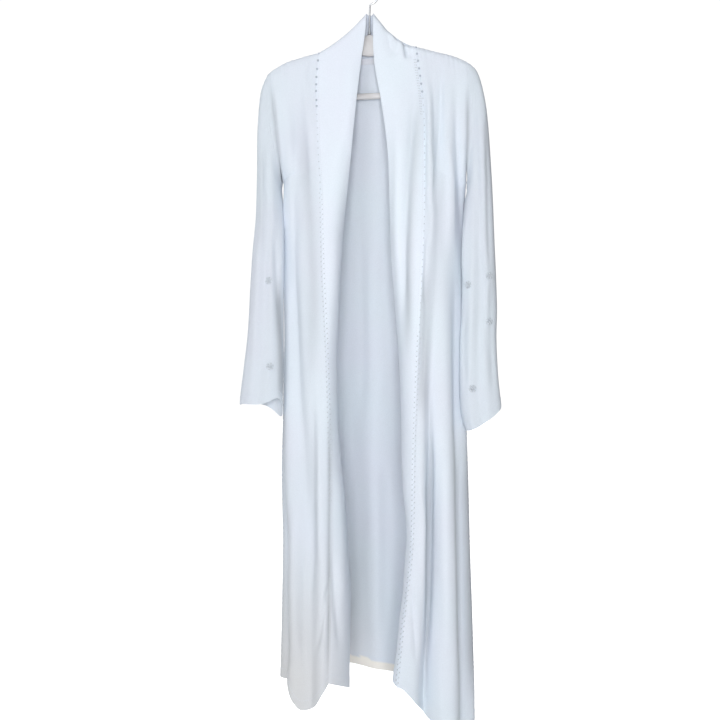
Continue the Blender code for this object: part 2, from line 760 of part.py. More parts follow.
def build_flower(number, skin, x, drop, look):
    """A six-petalled rosette whose points follow the sleeve, just off it."""
    sides = FLOWER_PETALS * 4
    z = -(HOOK_TO_COLLAR + drop)
    middle, facing, _, _ = skin.ray_cast(Vector((x * MM, -1.0, z * MM)), Vector((0.0, 1.0, 0.0)))
    facing = facing if facing.y < 0.0 else -facing

    def on_cloth(reach, turn, height):
        petal = lerp(FLOWER_WAIST, 1.0, (1.0 + math.cos(FLOWER_PETALS * turn)) / 2.0)
        radius = FLOWER_RADIUS * reach * petal * MM
        start = Vector((x * MM + radius * math.cos(turn), -1.0, z * MM + radius * math.sin(turn)))
        spot, local, _, _ = skin.ray_cast(start, Vector((0.0, 1.0, 0.0)))
        lean = max(abs(local.dot(facing)), FLOWER_LEAN)
        return spot + facing * (FLOWER_SEAT / lean + height * FLOWER_HEIGHT) * MM

    turns = [2.0 * math.pi * i / sides for i in range(sides)]
    builder = bmesh.new()
    base = builder.verts.new(on_cloth(0.0, 0.0, 0.0))
    loops = []
    for reach, height in FLOWER_PROFILE:
        loops.append([builder.verts.new(on_cloth(reach, turn, height)) for turn in turns])
    top = builder.verts.new(on_cloth(0.0, 0.0, FLOWER_TOP))
    for i in range(sides):
        j = (i + 1) % sides
        builder.faces.new((base, loops[0][j], loops[0][i]))
        for low, high in zip(loops, loops[1:]):
            builder.faces.new((low[i], low[j], high[j], high[i]))
        builder.faces.new((loops[-1][i], loops[-1][j], top))
    finish(builder, f"flower_{number}", look)


def hanger_path():
    """Middle line and section height all round the hanger's loop."""
    bottom = (0, HANGER[-1][1], HANGER_BAR)
    left = [(-x, drop, height) for x, drop, height in reversed(HANGER[1:])]
    return np.array([*HANGER, bottom, *left], dtype=float)


def build_hanger(look):
    path = hanger_path()
    count = len(path)
    builder = bmesh.new()
    rings = []
    for i, (x, drop, height) in enumerate(path):
        ahead, behind = path[(i + 1) % count], path[i - 1]
        along = np.array((ahead[0] - behind[0], -(ahead[1] - behind[1])))
        along /= np.linalg.norm(along)
        across = np.array((-along[1], along[0]))
        ring = []
        for k in range(HANGER_SECTION_SIDES):
            turn = 2.0 * math.pi * k / HANGER_SECTION_SIDES
            reach = height / 2.0 * math.cos(turn)
            swell = abs(math.sin(turn)) ** HANGER_SECTION_POWER
            y = HANGER_DEPTH / 2.0 * math.copysign(swell, math.sin(turn))
            spot = (x + across[0] * reach, y, -(HOOK_TO_COLLAR + drop) + across[1] * reach)
            ring.append(builder.verts.new([v * MM for v in spot]))
        rings.append(ring)
    for i in range(count):
        here, there = rings[i], rings[(i + 1) % count]
        for k in range(HANGER_SECTION_SIDES):
            j = (k + 1) % HANGER_SECTION_SIDES
            builder.faces.new((here[k], here[j], there[j], there[k]))
    finish(builder, "hanger_frame", look)


def build_hook(look):
    """Stem and hook of round wire, as a curve with filled caps."""
    radius = HOOK_INSIDE + HOOK_WIRE / 2.0
    centre_z = -HOOK_INSIDE
    foot = -(HOOK_TO_COLLAR + HANGER_HEAD_DROP - HANGER_HEAD / 2.0) + HOOK_GAP
    points = [(0.0, foot), (0.0, lerp(foot, centre_z - radius, 0.5))]
    for degrees in range(-90, HOOK_END + 1, HOOK_STEP):
        turn = math.radians(degrees)
        points.append((radius * math.cos(turn), centre_z + radius * math.sin(turn)))
    points[2] = (HOOK_BEND[0], centre_z - radius - HOOK_BEND[1])
    curve = bpy.data.curves.new("hanger_hook", "CURVE")
    curve.dimensions = "3D"
    curve.bevel_depth = HOOK_WIRE / 2.0 * MM
    curve.bevel_resolution = 2
    curve.use_fill_caps = True
    line = curve.splines.new("POLY")
    line.points.add(len(points) - 1)
    for point, (x, z) in zip(line.points, points):
        point.co = (x * MM, 0.0, z * MM, 1.0)
    curve.materials.append(look)
    bpy.context.scene.collection.objects.link(bpy.data.objects.new("hanger_hook", curve))


def main():
    for old in list(bpy.data.objects):
        bpy.data.objects.remove(old, do_unlink=True)
    white = material("crepe_white", (0.80, 0.83, 0.89), 0.8)
    tape = material("tape_white", (0.72, 0.74, 0.80), 0.8)
    beads = material("beads_grey", (0.35, 0.36, 0.40), 0.3)
    plastic = material("ivory_plastic", (0.72, 0.66, 0.56), 0.4)
    steel = material("steel_wire", (0.62, 0.63, 0.65), 0.25, 1.0)
    grids, normals = build_garment(white)
    build_tape(grids["back"], normals["back"], tape)
    for number, (side, x, drop) in enumerate(FLOWERS, start=1):
        skin = outer_skin(grids["sleeve_" + side], normals["sleeve_" + side])
        build_flower(number, skin, x, drop, beads)
    build_hanger(plastic)
    build_hook(steel)


main()
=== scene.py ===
import math

import bmesh
import bpy
import numpy as np
from mathutils import Matrix, Vector
from mathutils.bvhtree import BVHTree


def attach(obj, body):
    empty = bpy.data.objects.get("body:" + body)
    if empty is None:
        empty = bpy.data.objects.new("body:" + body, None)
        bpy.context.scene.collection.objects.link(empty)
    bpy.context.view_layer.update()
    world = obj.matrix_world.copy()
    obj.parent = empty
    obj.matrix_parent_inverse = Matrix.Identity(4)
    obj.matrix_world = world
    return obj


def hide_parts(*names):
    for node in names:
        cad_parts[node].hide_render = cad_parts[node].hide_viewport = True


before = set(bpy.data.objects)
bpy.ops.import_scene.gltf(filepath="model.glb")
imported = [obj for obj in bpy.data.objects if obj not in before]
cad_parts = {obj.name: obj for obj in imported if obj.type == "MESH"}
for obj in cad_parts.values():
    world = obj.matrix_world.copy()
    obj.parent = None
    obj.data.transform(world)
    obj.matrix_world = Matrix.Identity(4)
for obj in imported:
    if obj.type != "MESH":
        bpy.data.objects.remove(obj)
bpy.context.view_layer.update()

# A long open kaftan jacket in cool white crepe, on its hanger.
# Working lengths are millimetres, and a "drop" is how far a point lies below the top of the collar.
# The origin is the inside top of the hook. -Y is the front, +X the viewer's right.
mm = 0.001
fullTurn = 2.0 * math.pi


# The camera

view = {
    "turn": 8.0,  # degrees round to the viewer's right
    "distance": 2.0,  # metres
    "aside": 0.01976,
    "height": -0.77584,
    "lens": 48.08,
    "sensor": 36.0,
}


def addObject(name, data):
    thing = bpy.data.objects.new(name, data)
    bpy.context.scene.collection.objects.link(thing)
    return thing


def makeCamera():
    turn = math.radians(view["turn"])
    ahead = Vector((-math.sin(turn), math.cos(turn), 0.0))
    right = Vector((math.cos(turn), math.sin(turn), 0.0))
    data = bpy.data.cameras.new("photoCamera")
    data.lens, data.sensor_width = view["lens"], view["sensor"]
    camera = addObject("photoCamera", data)
    camera.location = -ahead * view["distance"] - right * view["aside"] + Vector((0, 0, view["height"]))
    camera.rotation_euler = (math.pi / 2, 0.0, turn)
    bpy.context.scene.camera = camera


makeCamera()
print("camera placed")


# Small helpers

weldWithin = 1e-6  # metres


def mix(a, b, t):
    return a + (b - a) * t


def ease(t):
    t = np.clip(t, 0.0, 1.0)
    return t * t * (3.0 - 2.0 * t)


def arch(t):
    return 4.0 * t * (1.0 - t)


def curveThrough(x, knownX, knownY):  # monotone cubic, no overshoot
    knownX, knownY = np.array(knownX, float), np.array(knownY, float)
    steps = np.diff(knownX)
    slopes = np.diff(knownY) / steps
    tangents = np.concatenate(([slopes[0]], 0.5 * (slopes[1:] + slopes[:-1]), [slopes[-1]]))
    flat = np.sign(slopes[1:]) * np.sign(slopes[:-1]) <= 0
    tangents[1:-1][flat] = 0.0
    for i, slope in enumerate(slopes):
        limit = 3.0 * abs(slope)
        tangents[i] = np.clip(tangents[i], -limit, limit)
        tangents[i + 1] = np.clip(tangents[i + 1], -limit, limit)
    x = np.clip(x, knownX[0], knownX[-1])
    i = np.clip(np.searchsorted(knownX, x, side="right") - 1, 0, len(steps) - 1)
    h = steps[i]
    t = (x - knownX[i]) / h
    value = (2 * t**3 - 3 * t**2 + 1) * knownY[i] + (t**3 - 2 * t**2 + t) * h * tangents[i]
    return value + (3 * t**2 - 2 * t**3) * knownY[i + 1] + (t**3 - t**2) * h * tangents[i + 1]


def read(table, name, at, key="drop"):
    return curveThrough(at, table[key], table[name])


def toMetres(grid):
    points = np.array(grid, float)
    points[..., 2] = -(shape["hookToCollar"] + points[..., 2])
    return points * mm


def unit(vectors):
    return vectors / np.maximum(np.linalg.norm(vectors, axis=-1, keepdims=True), 1e-12)


# The garment's form, as the solids have it

shape = {
    "hookToCollar": 56.0,  # the hook's inside top above the top of the collar
    "panelLength": 1276.0,  # the length that the rows' spacing below is meant for
    "underarmShare": 0.187,  # underarm, as a share of the panel's height
    "underarmDrop": 350.0,
    "underarmBack": 6.0,  # the underarm lies this far behind the shoulder line
    "underarmSpread": 2.4,  # a sleeve stands this far out at the underarm
    "armholeDepth": 20.0,  # half the thickness of the garment at the armhole
    "outerPower": 0.30,  # roundness of a sleeve's outer edge, less is blunter
    "innerPower": 0.50,
    "shoulderRound": 11.0,  # height over which a shoulder rounds over
    "roundShare": 0.12,  # a panel's section is round down to here and straight from twice this
    "neckDepth": 10.0,  # how far the back neck seam lies behind the shoulder line
    "neckPower": 0.5,  # fullness of the neck's back curve
    "neckDip": 13.0,
    "backPower": 0.8,  # fullness of the back's section below the waist
    "backTopPower": 3,
    "collarTopDepth": 8.0,
    "collarTopDip": 1.5,
    "collarSagShare": 0.15,
    "tiltPower": 5,  # how closely a cuff's slant keeps to its inner edge
    "leanShare": 0.2727,  # share of the sleeve over which its underarm comes forward again
    "foldFade": 0.06,  # share of the width over which folds fade out at a seam
    "spreadFrom": 0.6,  # place below the armhole's middle where the sleeve's spread begins
    "spreadOver": 0.4,
    "spreadFade": 22.0,
    "topRows": (0.0, 0.4, 1.2, 2.6, 4.5, 7.5, 11.0, 16.0, 22.0),  # below the panel's top edge
    "chestStart": 28.0,
    "chestRows": 43,
    "skirtRows": 226,
}

body = {
    "drop": (75, 150, 190, 290, 350, 410, 540, 680, 850, 930, 1100, 1240, 1400),
    "leftSeamX": (-105, -110, -108, -102, -97, -93, -88, -79, -72, -70, -69, -69, -71),
    "leftSeamY": (-10, -15, -20, -34, -42, -49, -60, -71, -78, -81, -86, -89, -91),
    "rightSeamX": (97, 108, 113, 117, 118, 118, 114, 108, 101, 99, 95, 79, 63),
    "rightSeamY": (-10, -14, -20, -35, -41, -47, -59, -69, -77, -80, -85, -89, -90),
    "leftSideX": (-208, -204, -199, -189, -183.5, -181.5, -181, -181.5, -184.5, -185.5, -180, -182, -184),
    "rightSideX": (205, 203, 202, 203, 199.3, 194.6, 195.5, 196, 197, 199, 202, 206, 210),
    "sideY": (0, 0, 0, 0, 6, 13, 20, 20, 20, 18, 16, 16, 16),
    "backY": (11, 14, 18, 28, 36, 43, 54, 62, 70, 73, 80, 86, 90),
}
leftEdge = {
    "drop": (0, 30, 100, 186, 286, 406, 536, 676, 816, 956, 1096, 1236, 1392),
    "x": (-5.5, -6.5, -15.5, -25, -34, -47, -61, -78, -80, -64, -49, -38, -38),
    "y": (-8, -10, -15, -22, -28, -26, -16, -4, 0, -4, -12, -22, -32),
    "bulge": (0, 2, 4, 5, 7, 9, 12, 14, 15, 14, 12, 9, 5),
    "hem": 1392.0,
    "sag": 8.0,
}
rightEdge = {
    "drop": (0, 30, 100, 186, 286, 406, 536, 676, 816, 956, 1070, 1166, 1236, 1351),
    "x": (8, 8.5, 11.5, 27, 41, 46, 50, 60, 70, 78, 99, 100, 92, 70),
    "y": (-8, -10, -15, -22, -28, -27, -20, -10, -4, -4, -10, -16, -22, -30),
    "bulge": (0, 2, 4, 5, 7, 8, 9, 12, 13, 14, 14, 14, 14, 12),
    "hem": 1351.0,
    "sag": 13.0,
}
shoulder = {
    "share": (0.00, 0.35, 0.70, 1.00),
    "leftX": (-105, -141, -177, -208),
    "leftDrop": (76.5, 85.5, 96, 112),
    "rightX": (97, 135, 173, 205),
    "rightDrop": (74, 85.5, 97, 112),
}
frontHem = {
    "share": (0.00, 0.06, 0.14, 0.23, 0.33, 0.42, 0.52, 0.70, 0.85, 1.00),
    "left": (1366, 1386, 1410, 1423, 1427, 1408, 1373, 1381, 1382, 1382),
    "right": (1366, 1372, 1390, 1414, 1438, 1452, 1456, 1458, 1457, 1452),
}
backHem = {
    "share": (0.0, 0.2, 0.4, 0.5, 0.6, 0.8, 1.0),
    "drop": (1382, 1384, 1383, 1386, 1408, 1436, 1452),
}

# Large folds: place at the top and at the hem and half width, as shares of the panel's width,
# then height outwards at the chest, waist, knee and hem
foldDrops = (100.0, 380.0, 700.0, 1050.0, 1400.0)
largeFolds = {
    "left": (
        (0.22, 0.08, 0.10, 3, 4, 5, 6),
        (0.55, 0.24, 0.11, -4, -8, -9, -10),
        (0.80, 0.46, 0.13, 3, 6, 11, 15),
        (0.96, 0.64, 0.08, 0, -3, -12, -20),
        (1.00, 0.84, 0.07, 0, 0, 4, 6),
    ),
    "right": (
        (0.13, 0.10, 0.07, 7, 5, 2, 0),
        (0.06, 0.29, 0.075, 0, -5, -24, -34),
        (0.30, 0.52, 0.12, -3, 7, 12, 16),
        (0.52, 0.72, 0.09, 4, -7, -11, -12),
        (0.76, 0.88, 0.09, -3, 5, 7, 9),
    ),
    "back": (
        (0.16, 0.12, 0.045, 5, 9, 13, 16),
        (0.27, 0.24, 0.045, -6, -10, -16, -20),
        (0.38, 0.36, 0.055, 6, 11, 16, 22),
        (0.50, 0.49, 0.050, -5, -10, -15, -20),
        (0.62, 0.61, 0.055, 7, 12, 17, 21),
        (0.73, 0.74, 0.045, -6, -11, -17, -22),
        (0.84, 0.87, 0.050, 5, 9, 13, 17),
    ),
}

sleeveDepths = (21, 22, 23, 23, 23, 22, 21, 20, 20, 21, 22, 23)
leftSleeve = {
    "outerX": (-217.5, -228.5, -233.5, -235.5, -234.5, -234, -238.5, -242, -245.5, -254.5, -260, -261.5),
    "outerDrop": (124, 153, 200, 260, 330, 410, 490, 570, 650, 735, 785, 812),
    "innerX": (-187.5, -187, -185.5, -184, -182.5, -180, -178, -177.5, -176.5, -175.5, -174.5, -174),
    "innerDrop": (356, 366, 380, 397, 420, 455, 510, 580, 655, 740, 787, 820),
    "halfDepth": sleeveDepths,
    "midY": (0, -1, -3, -7, -13, -23, -32, -39, -42, -46, -49, -50),
    "tilt": (0,) * 9 + (13, 34, 52),
    "belly": (0,) * 9 + (-1, -3, -4),
}
rightSleeve = {
    "outerX": (223, 236, 245, 250, 254, 257, 260, 262, 261, 264, 268, 270),
    "outerDrop": (133, 180, 245, 320, 400, 480, 550, 621, 672, 746, 790, 811),
    "innerX": (203, 202, 200, 198.5, 197, 195, 194, 192, 188.5, 188, 191, 200),
    "innerDrop": (371, 382, 396, 414, 440, 490, 560, 631, 690, 760, 820, 858),
    "halfDepth": sleeveDepths,
    "midY": (0, -3, -7, -12, -18, -24, -28, -30, -31, -31, -31, -30),
    "tilt": (0,) * 12,
    "belly": (0,) * 9 + (3, 8, 13),
}
sleeveStations = (0.0, 0.25, 0.6, 1.0)
sleeveSoftness = 0.5  # share of the sleeve folds' height that the cloth takes
sleeveFolds = {
    "left": ((0.30, 0.26, 0.10, 2, 4, 3), (0.52, 0.46, 0.10, -4, -6, -5), (0.74, 0.72, 0.10, 2, 5, 5)),
    "right": ((0.28, 0.30, 0.10, 3, 5, 3), (0.46, 0.52, 0.10, -4, -6, -6), (0.70, 0.76, 0.10, 3, 5, 4)),
    "rear": ((0.32, 0.36, 0.10, 2, 4, 4), (0.58, 0.60, 0.11, -3, -6, -5)),
}


def downRows():  # shares of the panel's length, close together where a shoulder rounds over
    underarm = shape["underarmShare"] * shape["panelLength"]
    chest = np.linspace(shape["chestStart"], underarm, shape["chestRows"])
    skirt = np.linspace(underarm, shape["panelLength"], shape["skirtRows"])[1:]
    return np.concatenate((shape["topRows"], chest, skirt)) / shape["panelLength"]


def rounded(depth):
    t = np.clip(depth / shape["shoulderRound"], 0.0, 1.0)
    return np.sqrt(1.0 - (1.0 - t) ** 2)


def straightness(down):
    return ease(down / shape["roundShare"] - 1.0)


def ringShape(along):  # half thickness of a sleeve ring, blunt outside and rounder inside
    power = mix(shape["innerPower"], shape["outerPower"], (1.0 + along) / 2.0)
    return np.maximum(0.0, 1.0 - along * along) ** power


def armholeLean(along):
    return shape["underarmBack"] * ((1.0 - along) / 2.0) ** 2


def underarmX(side):
    return float(read(body, side + "SideX", shape["underarmDrop"]))


def sideLine(side, down, drop, face):  # armhole, then side seam
    share = np.clip(down / shape["underarmShare"], 0.0, 1.0)
    along = 1.0 - 2.0 * share
    armX = mix(shoulder[side + "X"][-1], underarmX(side), share)
    armY = armholeLean(along) + face * shape["armholeDepth"] * ringShape(along)
    above = down <= shape["underarmShare"]
    sideX, sideY = read(body, side + "SideX", drop), read(body, "sideY", drop)
    return np.where(above, armX, sideX), np.where(above, armY, sideY)


def foldHeights(folds, share, drop):
    total = 0.0
    for atTop, atHem, halfWidth, *heights in folds:
        centre = mix(atTop, atHem, ease((drop - foldDrops[0]) / (foldDrops[-1] - foldDrops[0])))
        height = curveThrough(drop, foldDrops, [0.0, *heights])
        total = total + height * np.exp(-(((share - centre) / halfWidth) ** 2))
    return total * ease(np.minimum(share, 1.0 - share) / shape["foldFade"])


def pushOut(grid, heights, outward):
    along = unit(np.gradient(grid[..., :2], axis=1))
    normal = np.stack((along[..., 1], -along[..., 0]), axis=-1) * outward
    grid[..., :2] += normal * heights[..., None]
    return grid


def frontGrid(side, columns):
    down = downRows()[:, None]
    share = np.linspace(0.0, 1.0, columns + 1)[None, :]
    top = read(shoulder, side + "Drop", share, "share")
    drop = mix(top, read(frontHem, side, share, "share"), down)
    seamX = read(body, side + "SeamX", drop)
    seamY = read(body, side + "SeamY", drop) * rounded(drop - top)
    sideX, sideY = sideLine(side, down, drop, -1.0)
    straight = straightness(down)
    x = mix(seamX, sideX, mix(share, np.sin(share * math.pi / 2), straight))
    y = mix(seamY, sideY, mix(share, 1.0 - np.cos(share * math.pi / 2), straight))
    heights = foldHeights(largeFolds[side], share, drop)
    return pushOut(np.stack((x, y, drop), axis=-1), heights, -1.0 if side == "left" else 1.0)


def backTop(shoulderColumns, neckColumns):
    left = np.linspace(1.0, 0.0, shoulderColumns + 1)
    right = np.linspace(0.0, 1.0, shoulderColumns + 1)
    u = np.linspace(0.0, 1.0, neckColumns + 1)[1:-1]
    neckX = mix(shoulder["leftX"][0], shoulder["rightX"][0], u)
    x = [read(shoulder, "leftX", left, "share"), neckX, read(shoulder, "rightX", right, "share")]
    y = [0 * left, shape["neckDepth"] * np.sin(math.pi * u) ** shape["neckPower"], 0 * right]
    neck = mix(shoulder["leftDrop"][0], shoulder["rightDrop"][0], u) + shape["neckDip"] * arch(u)
    drop = [read(shoulder, "leftDrop", left, "share"), neck, read(shoulder, "rightDrop", right, "share")]
    return [np.concatenate(part)[None, :] for part in (x, y, drop)]


def backGrid(shoulderColumns, neckColumns):
    down = downRows()[:, None]
    topX, topY, top = backTop(shoulderColumns, neckColumns)
    share = (topX - topX[0, 0]) / (topX[0, -1] - topX[0, 0])
    drop = mix(top, read(backHem, "drop", share, "share"), down)
    leftX, sideY = sideLine("left", down, drop, 1.0)
    rightX, sideY = sideLine("right", down, drop, 1.0)
    straight = straightness(down)
    across = mix(share, (1.0 - np.cos(math.pi * share)) / 2.0, straight)
    fullness = np.maximum(np.sin(math.pi * share), 0.0) ** shape["backPower"]
    out = mix(1.0 - np.abs(2.0 * share - 1.0) ** shape["backTopPower"], fullness, straight)
    y = mix(topY, read(body, "backY", drop), rounded(drop - top))
    grid = np.stack((mix(leftX, rightX, across), mix(sideY, y, out), drop), axis=-1)
    grid[0] = np.concatenate((topX, topY, top)).T
    return pushOut(grid, foldHeights(largeFolds["back"], share, drop) * (down > 0.0), -1.0)


def bandGrid(side, front, columns):
    edge = leftEdge if side == "left" else rightEdge
    turn = 1.0 if side == "left" else -1.0
    down = downRows()[:, None]
    seam = front[:, :1]
    edgeDrop = edge["hem"] * down
    edgeX, edgeY = read(edge, "x", edgeDrop), read(edge, "y", edgeDrop)
    seamY = read(body, side + "SeamY", seam[..., 2])
    chord = unit(np.stack((edgeX - seam[..., 0], edgeY - seamY), axis=-1))
    bulge = read(edge, "bulge", edgeDrop)
    sag = edge["sag"] * np.maximum(0.0, 1.0 - down / shape["collarSagShare"])
    p = np.linspace(0.0, 1.0, columns + 1)[None, :]
    x = mix(seam[..., 0], edgeX, p) + chord[..., 1] * turn * bulge * arch(p)
    y = (mix(seamY, edgeY, p) - chord[..., 0] * turn * bulge * arch(p)) * rounded(down * shape["panelLength"])
    y[:, 0] = seam[:, 0, 1]
    drop = mix(seam[..., 2], edgeDrop, p) + sag * arch(p)
    return np.stack((x, y, drop), axis=-1)


def neckGrid(leftTop, rightTop, columns):
    p = np.linspace(0.0, 1.0, len(leftTop))[:, None]
    u = np.linspace(0.0, 1.0, columns + 1)[None, :]
    x = mix(leftTop[:, :1], rightTop[:, :1], u)
    dip = mix(shape["neckDip"], shape["collarTopDip"], p)
    drop = mix(leftTop[:, 2:], rightTop[:, 2:], u) + dip * arch(u)
    depth = mix(shape["neckDepth"], shape["collarTopDepth"], p)
    y = depth * np.maximum(np.sin(math.pi * u), 0.0) ** shape["neckPower"]
    return np.stack((x, y, drop), axis=-1)


def sleeveGrid(side, rows, columns):
    table = leftSleeve if side == "left" else rightSleeve
    tipX, tipDrop = shoulder[side + "X"][-1], shoulder[side + "Drop"][-1]
    armpitDrop = mix(tipDrop, frontHem[side][-1], shape["underarmShare"])
    head = {
        "outerX": tipX, "outerDrop": tipDrop, "innerX": underarmX(side), "innerDrop": armpitDrop,
        "halfDepth": shape["armholeDepth"], "midY": 0.0, "tilt": 0.0, "belly": 0.0,
    }
    s = np.linspace(0.0, 1.0, rows + 1)[:, None]
    stations = np.linspace(0.0, 1.0, len(table["outerX"]) + 1)
    at = {name: curveThrough(s, stations, (head[name], *table[name])) for name in table}
    turn = np.linspace(0.0, fullTurn, 2 * columns + 1)[None, :]  # down the front, up the back
    along = np.cos(turn)
    face = np.where(turn <= math.pi, -1.0, 1.0)
    outer = (1.0 + along) / 2.0
    ring = ringShape(along)
    fold = 0.0
    for folds, sheetFace in ((sleeveFolds[side], -1.0), (sleeveFolds["rear"], 1.0)):
        for atHead, atCuff, halfWidth, *heights in folds:
            height = curveThrough(s, sleeveStations, [0.0, *heights]) * sleeveSoftness
            place = (1.0 - outer - mix(atHead, atCuff, s)) / halfWidth
            fold = fold + (face == sheetFace) * height * np.exp(-(place**2))
    x = mix(at["innerX"], at["outerX"], outer)
    slant = face * at["tilt"] * (1.0 - outer) ** shape["tiltPower"]
    drop = mix(at["innerDrop"], at["outerDrop"], outer) + ring * (at["belly"] + slant)
    y = at["midY"] + face * (at["halfDepth"] * ring + fold)
    y = y + armholeLean(along) * np.maximum(0.0, 1.0 - s / shape["leanShare"])
    spread = shape["underarmSpread"] * ease((-along - shape["spreadFrom"]) / shape["spreadOver"])
    spread = spread * np.maximum(0.0, 1.0 - shape["spreadFade"] * s)
    return np.stack((x + spread * (-1.0 if side == "left" else 1.0), y, drop), axis=-1)


# Listed creases: drops, x there, half width and height outwards (a trough is negative), all in mm
creases = {
    "sleeveLeft": (
        ((110, 173, 258, 321), (-208, -195, -186, -182), 4, -1.6),
        ((216, 303, 397), (-217, -216, -213), 6, -2.2),
        ((430, 534, 616, 708), (-195, -185, -179, -170), 7, -3.0),
        ((451, 575, 698), (-224, -228, -235), 12, 1.6),
        ((555, 647, 749), (-206, -202, -198), 6, -1.5),
    ),
    "sleeveLeftInner": (
        ((338, 400, 480, 590, 700, 830), (-186.5, -182.5, -179, -178, -176.5, -175), 5, 2.9),
    ),
    "sideLeft": (
        ((325, 390, 480, 600, 720, 860), (-184, -182, -181.5, -182.5, -184, -186), 6, 2.7),
    ),
    "sideRight": (
        ((335, 400, 450, 560), (200, 196.5, 195, 195.5), 6, 2.4),
    ),
    "sleeveRightInner": (
        ((345, 400, 460, 570), (202, 199.5, 196.5, 194), 5, 2.4),
    ),
    "seamLeft": (
        ((800, 900, 1040, 1200, 1390), (-71, -70, -69, -69, -71), 4.5, -2.6),
    ),
    "deepRight": (
        ((836, 940, 1050, 1200, 1340), (132, 131, 128, 125, 121), 5.5, -9.0),
    ),
    "collarRight": (
        ((58, 80, 102), (72.5, 75, 79), 3.4, -6.5),
        ((140, 273, 394, 536, 680), (97, 90, 82, 76, 78), 8.5, -6.0),
        ((160, 280, 400, 530, 650), (112, 105, 98, 92, 94), 9, 1.6),
    ),
    "frontLeft": (
        ((153, 267, 349, 452, 595), (-151, -138, -126, -113, -103), 13, -3.2),
        ((182, 327, 471, 616), (-169, -162, -156, -147), 10, 2.0),
        ((76, 159, 242), (-136, -132, -125), 9, 1.5),
        ((414, 596, 758, 900), (-141, -133, -125, -121), 12, 2.2),
        ((758, 918, 1078, 1238), (-104, -106, -106, -113), 9, -2.5),
        ((817, 997, 1156), (-91, -89, -87), 7, 1.8),
        ((1156, 1236, 1316), (-69, -83, -99), 6, -2.0),
        ((1000, 1162, 1343), (-147, -147, -139), 9, 2.2),
        ((1078, 1219, 1359), (-123, -125, -121), 7, -1.9),
        ((1030, 1180, 1370), (-169, -166, -160), 8, -2.8),
    ),
    "bandLeft": (
        ((61, 164, 287), (-32, -36, -45), 11, 1.5),
        ((61, 184, 328), (-69, -71, -73), 14, -1.4),
        ((454, 576, 718), (-63, -67, -69), 12, 1.3),
        ((921, 1083, 1244), (-57, -50, -44), 7, 1.6),
        ((1081, 1202, 1322), (-65, -59, -49), 6, -1.8),
    ),
    "bandRight": (
        ((55, 78, 103), (80, 84, 86), 6, -1.6),
        ((36, 64, 101), (61, 59, 51), 8, -1.5),
        ((18, 49, 91), (30, 38, 46), 7, -1.2),
        ((171, 293, 434, 556), (64, 64, 62, 64), 11, 2.2),
        ((1076, 1175, 1275), (81, 73, 63), 6, 1.8),
        ((1155, 1235, 1315), (87, 85, 81), 5, -1.6),
    ),
    "frontRight": (
        ((133, 234, 335, 436), (123, 127, 125, 123), 6, 2.0),
        ((95, 192, 313, 434), (148, 148, 144, 136), 6, -2.4),
        ((112, 253, 415, 556), (166, 169, 169, 164), 9, 1.5),
        ((192, 354, 516), (178, 184, 182), 6, -1.8),
        ((468, 528, 618), (125, 123, 119), 6, 2.6),
        ((558, 658, 777), (113, 111, 109), 6, -2.6),
        ((826, 875, 935), (102, 100, 98), 7, 3.0),
        ((954, 1072, 1230, 1330), (112, 120, 120, 112), 6, 2.2),
        ((1152, 1251, 1330), (94, 100, 106), 5, -1.6),
        ((816, 995, 1193, 1352), (160, 162, 164, 166), 12, 2.4),
        ((880, 1078, 1380), (188, 190, 195), 7.5, -3.2),
    ),
    "sleeveRight": (
        ((97, 167, 249, 310), (202, 201, 203, 200), 3.5, -1.8),
        ((173, 294, 415), (227, 233, 235), 8, 1.8),
        ((200, 360, 560), (240, 245, 249), 6, -3.0),
        ((540, 680, 800), (251, 252, 256), 6, -2.8),
        ((316, 436, 557), (217, 213, 209), 7, -1.6),
        ((478, 598, 737), (229, 237, 243), 7, -2.6),
        ((558, 658, 777), (213, 213, 221), 9, 1.6),
        ((618, 697, 787), (199, 197, 203), 5, -1.6),
    ),
    "sleeveRear": (
        ((190, 300, 420), (-214, -219, -216), 8, 1.8),
        ((380, 520, 640), (-204, -207, -214), 6, -2.2),
        ((560, 680, 790), (-226, -230, -233), 8, 1.6),
        ((200, 330, 450), (221, 226, 224), 7, -2.0),
        ((420, 540, 690), (240, 241, 246), 8, 1.7),
        ((600, 700, 800), (214, 216, 222), 6, -1.9),
    ),
    "back": (
        ((112, 190, 300), (-60, -52, -40), 11, 1.6),
        ((120, 230, 340), (12, 16, 9), 13, -1.5),
        ((110, 200, 330), (74, 66, 52), 10, 1.8),
        ((180, 260, 350), (-168, -150, -124), 8, -2.0),
        ((190, 270, 370), (172, 150, 120), 8, -2.2),
        ((380, 560, 790), (-96, -101, -108), 9, -2.2),
        ((430, 640, 880), (-24, -22, -27), 8, 2.0),
        ((420, 610, 760), (48, 52, 57), 9, -1.8),
        ((520, 760, 990), (132, 138, 146), 9, 2.1),
        ((700, 930, 1180), (-148, -152, -155), 8, 1.9),
        ((820, 1040, 1290), (-62, -66, -70), 8, -2.3),
        ((900, 1120, 1340), (22, 25, 21), 9, 1.8),
        ((860, 1080, 1330), (96, 101, 108), 8, -2.2),
        ((1090, 1220, 1340), (-118, -121, -127), 7, 1.9),
        ((1120, 1240, 1350), (160, 166, 173), 7, -1.8),
    ),
    "bandNeck": (
        ((20, 42, 66), (-22, -30, -34), 8, 1.0),
        ((26, 48, 72), (26, 36, 44), 9, -1.1),
    ),
}
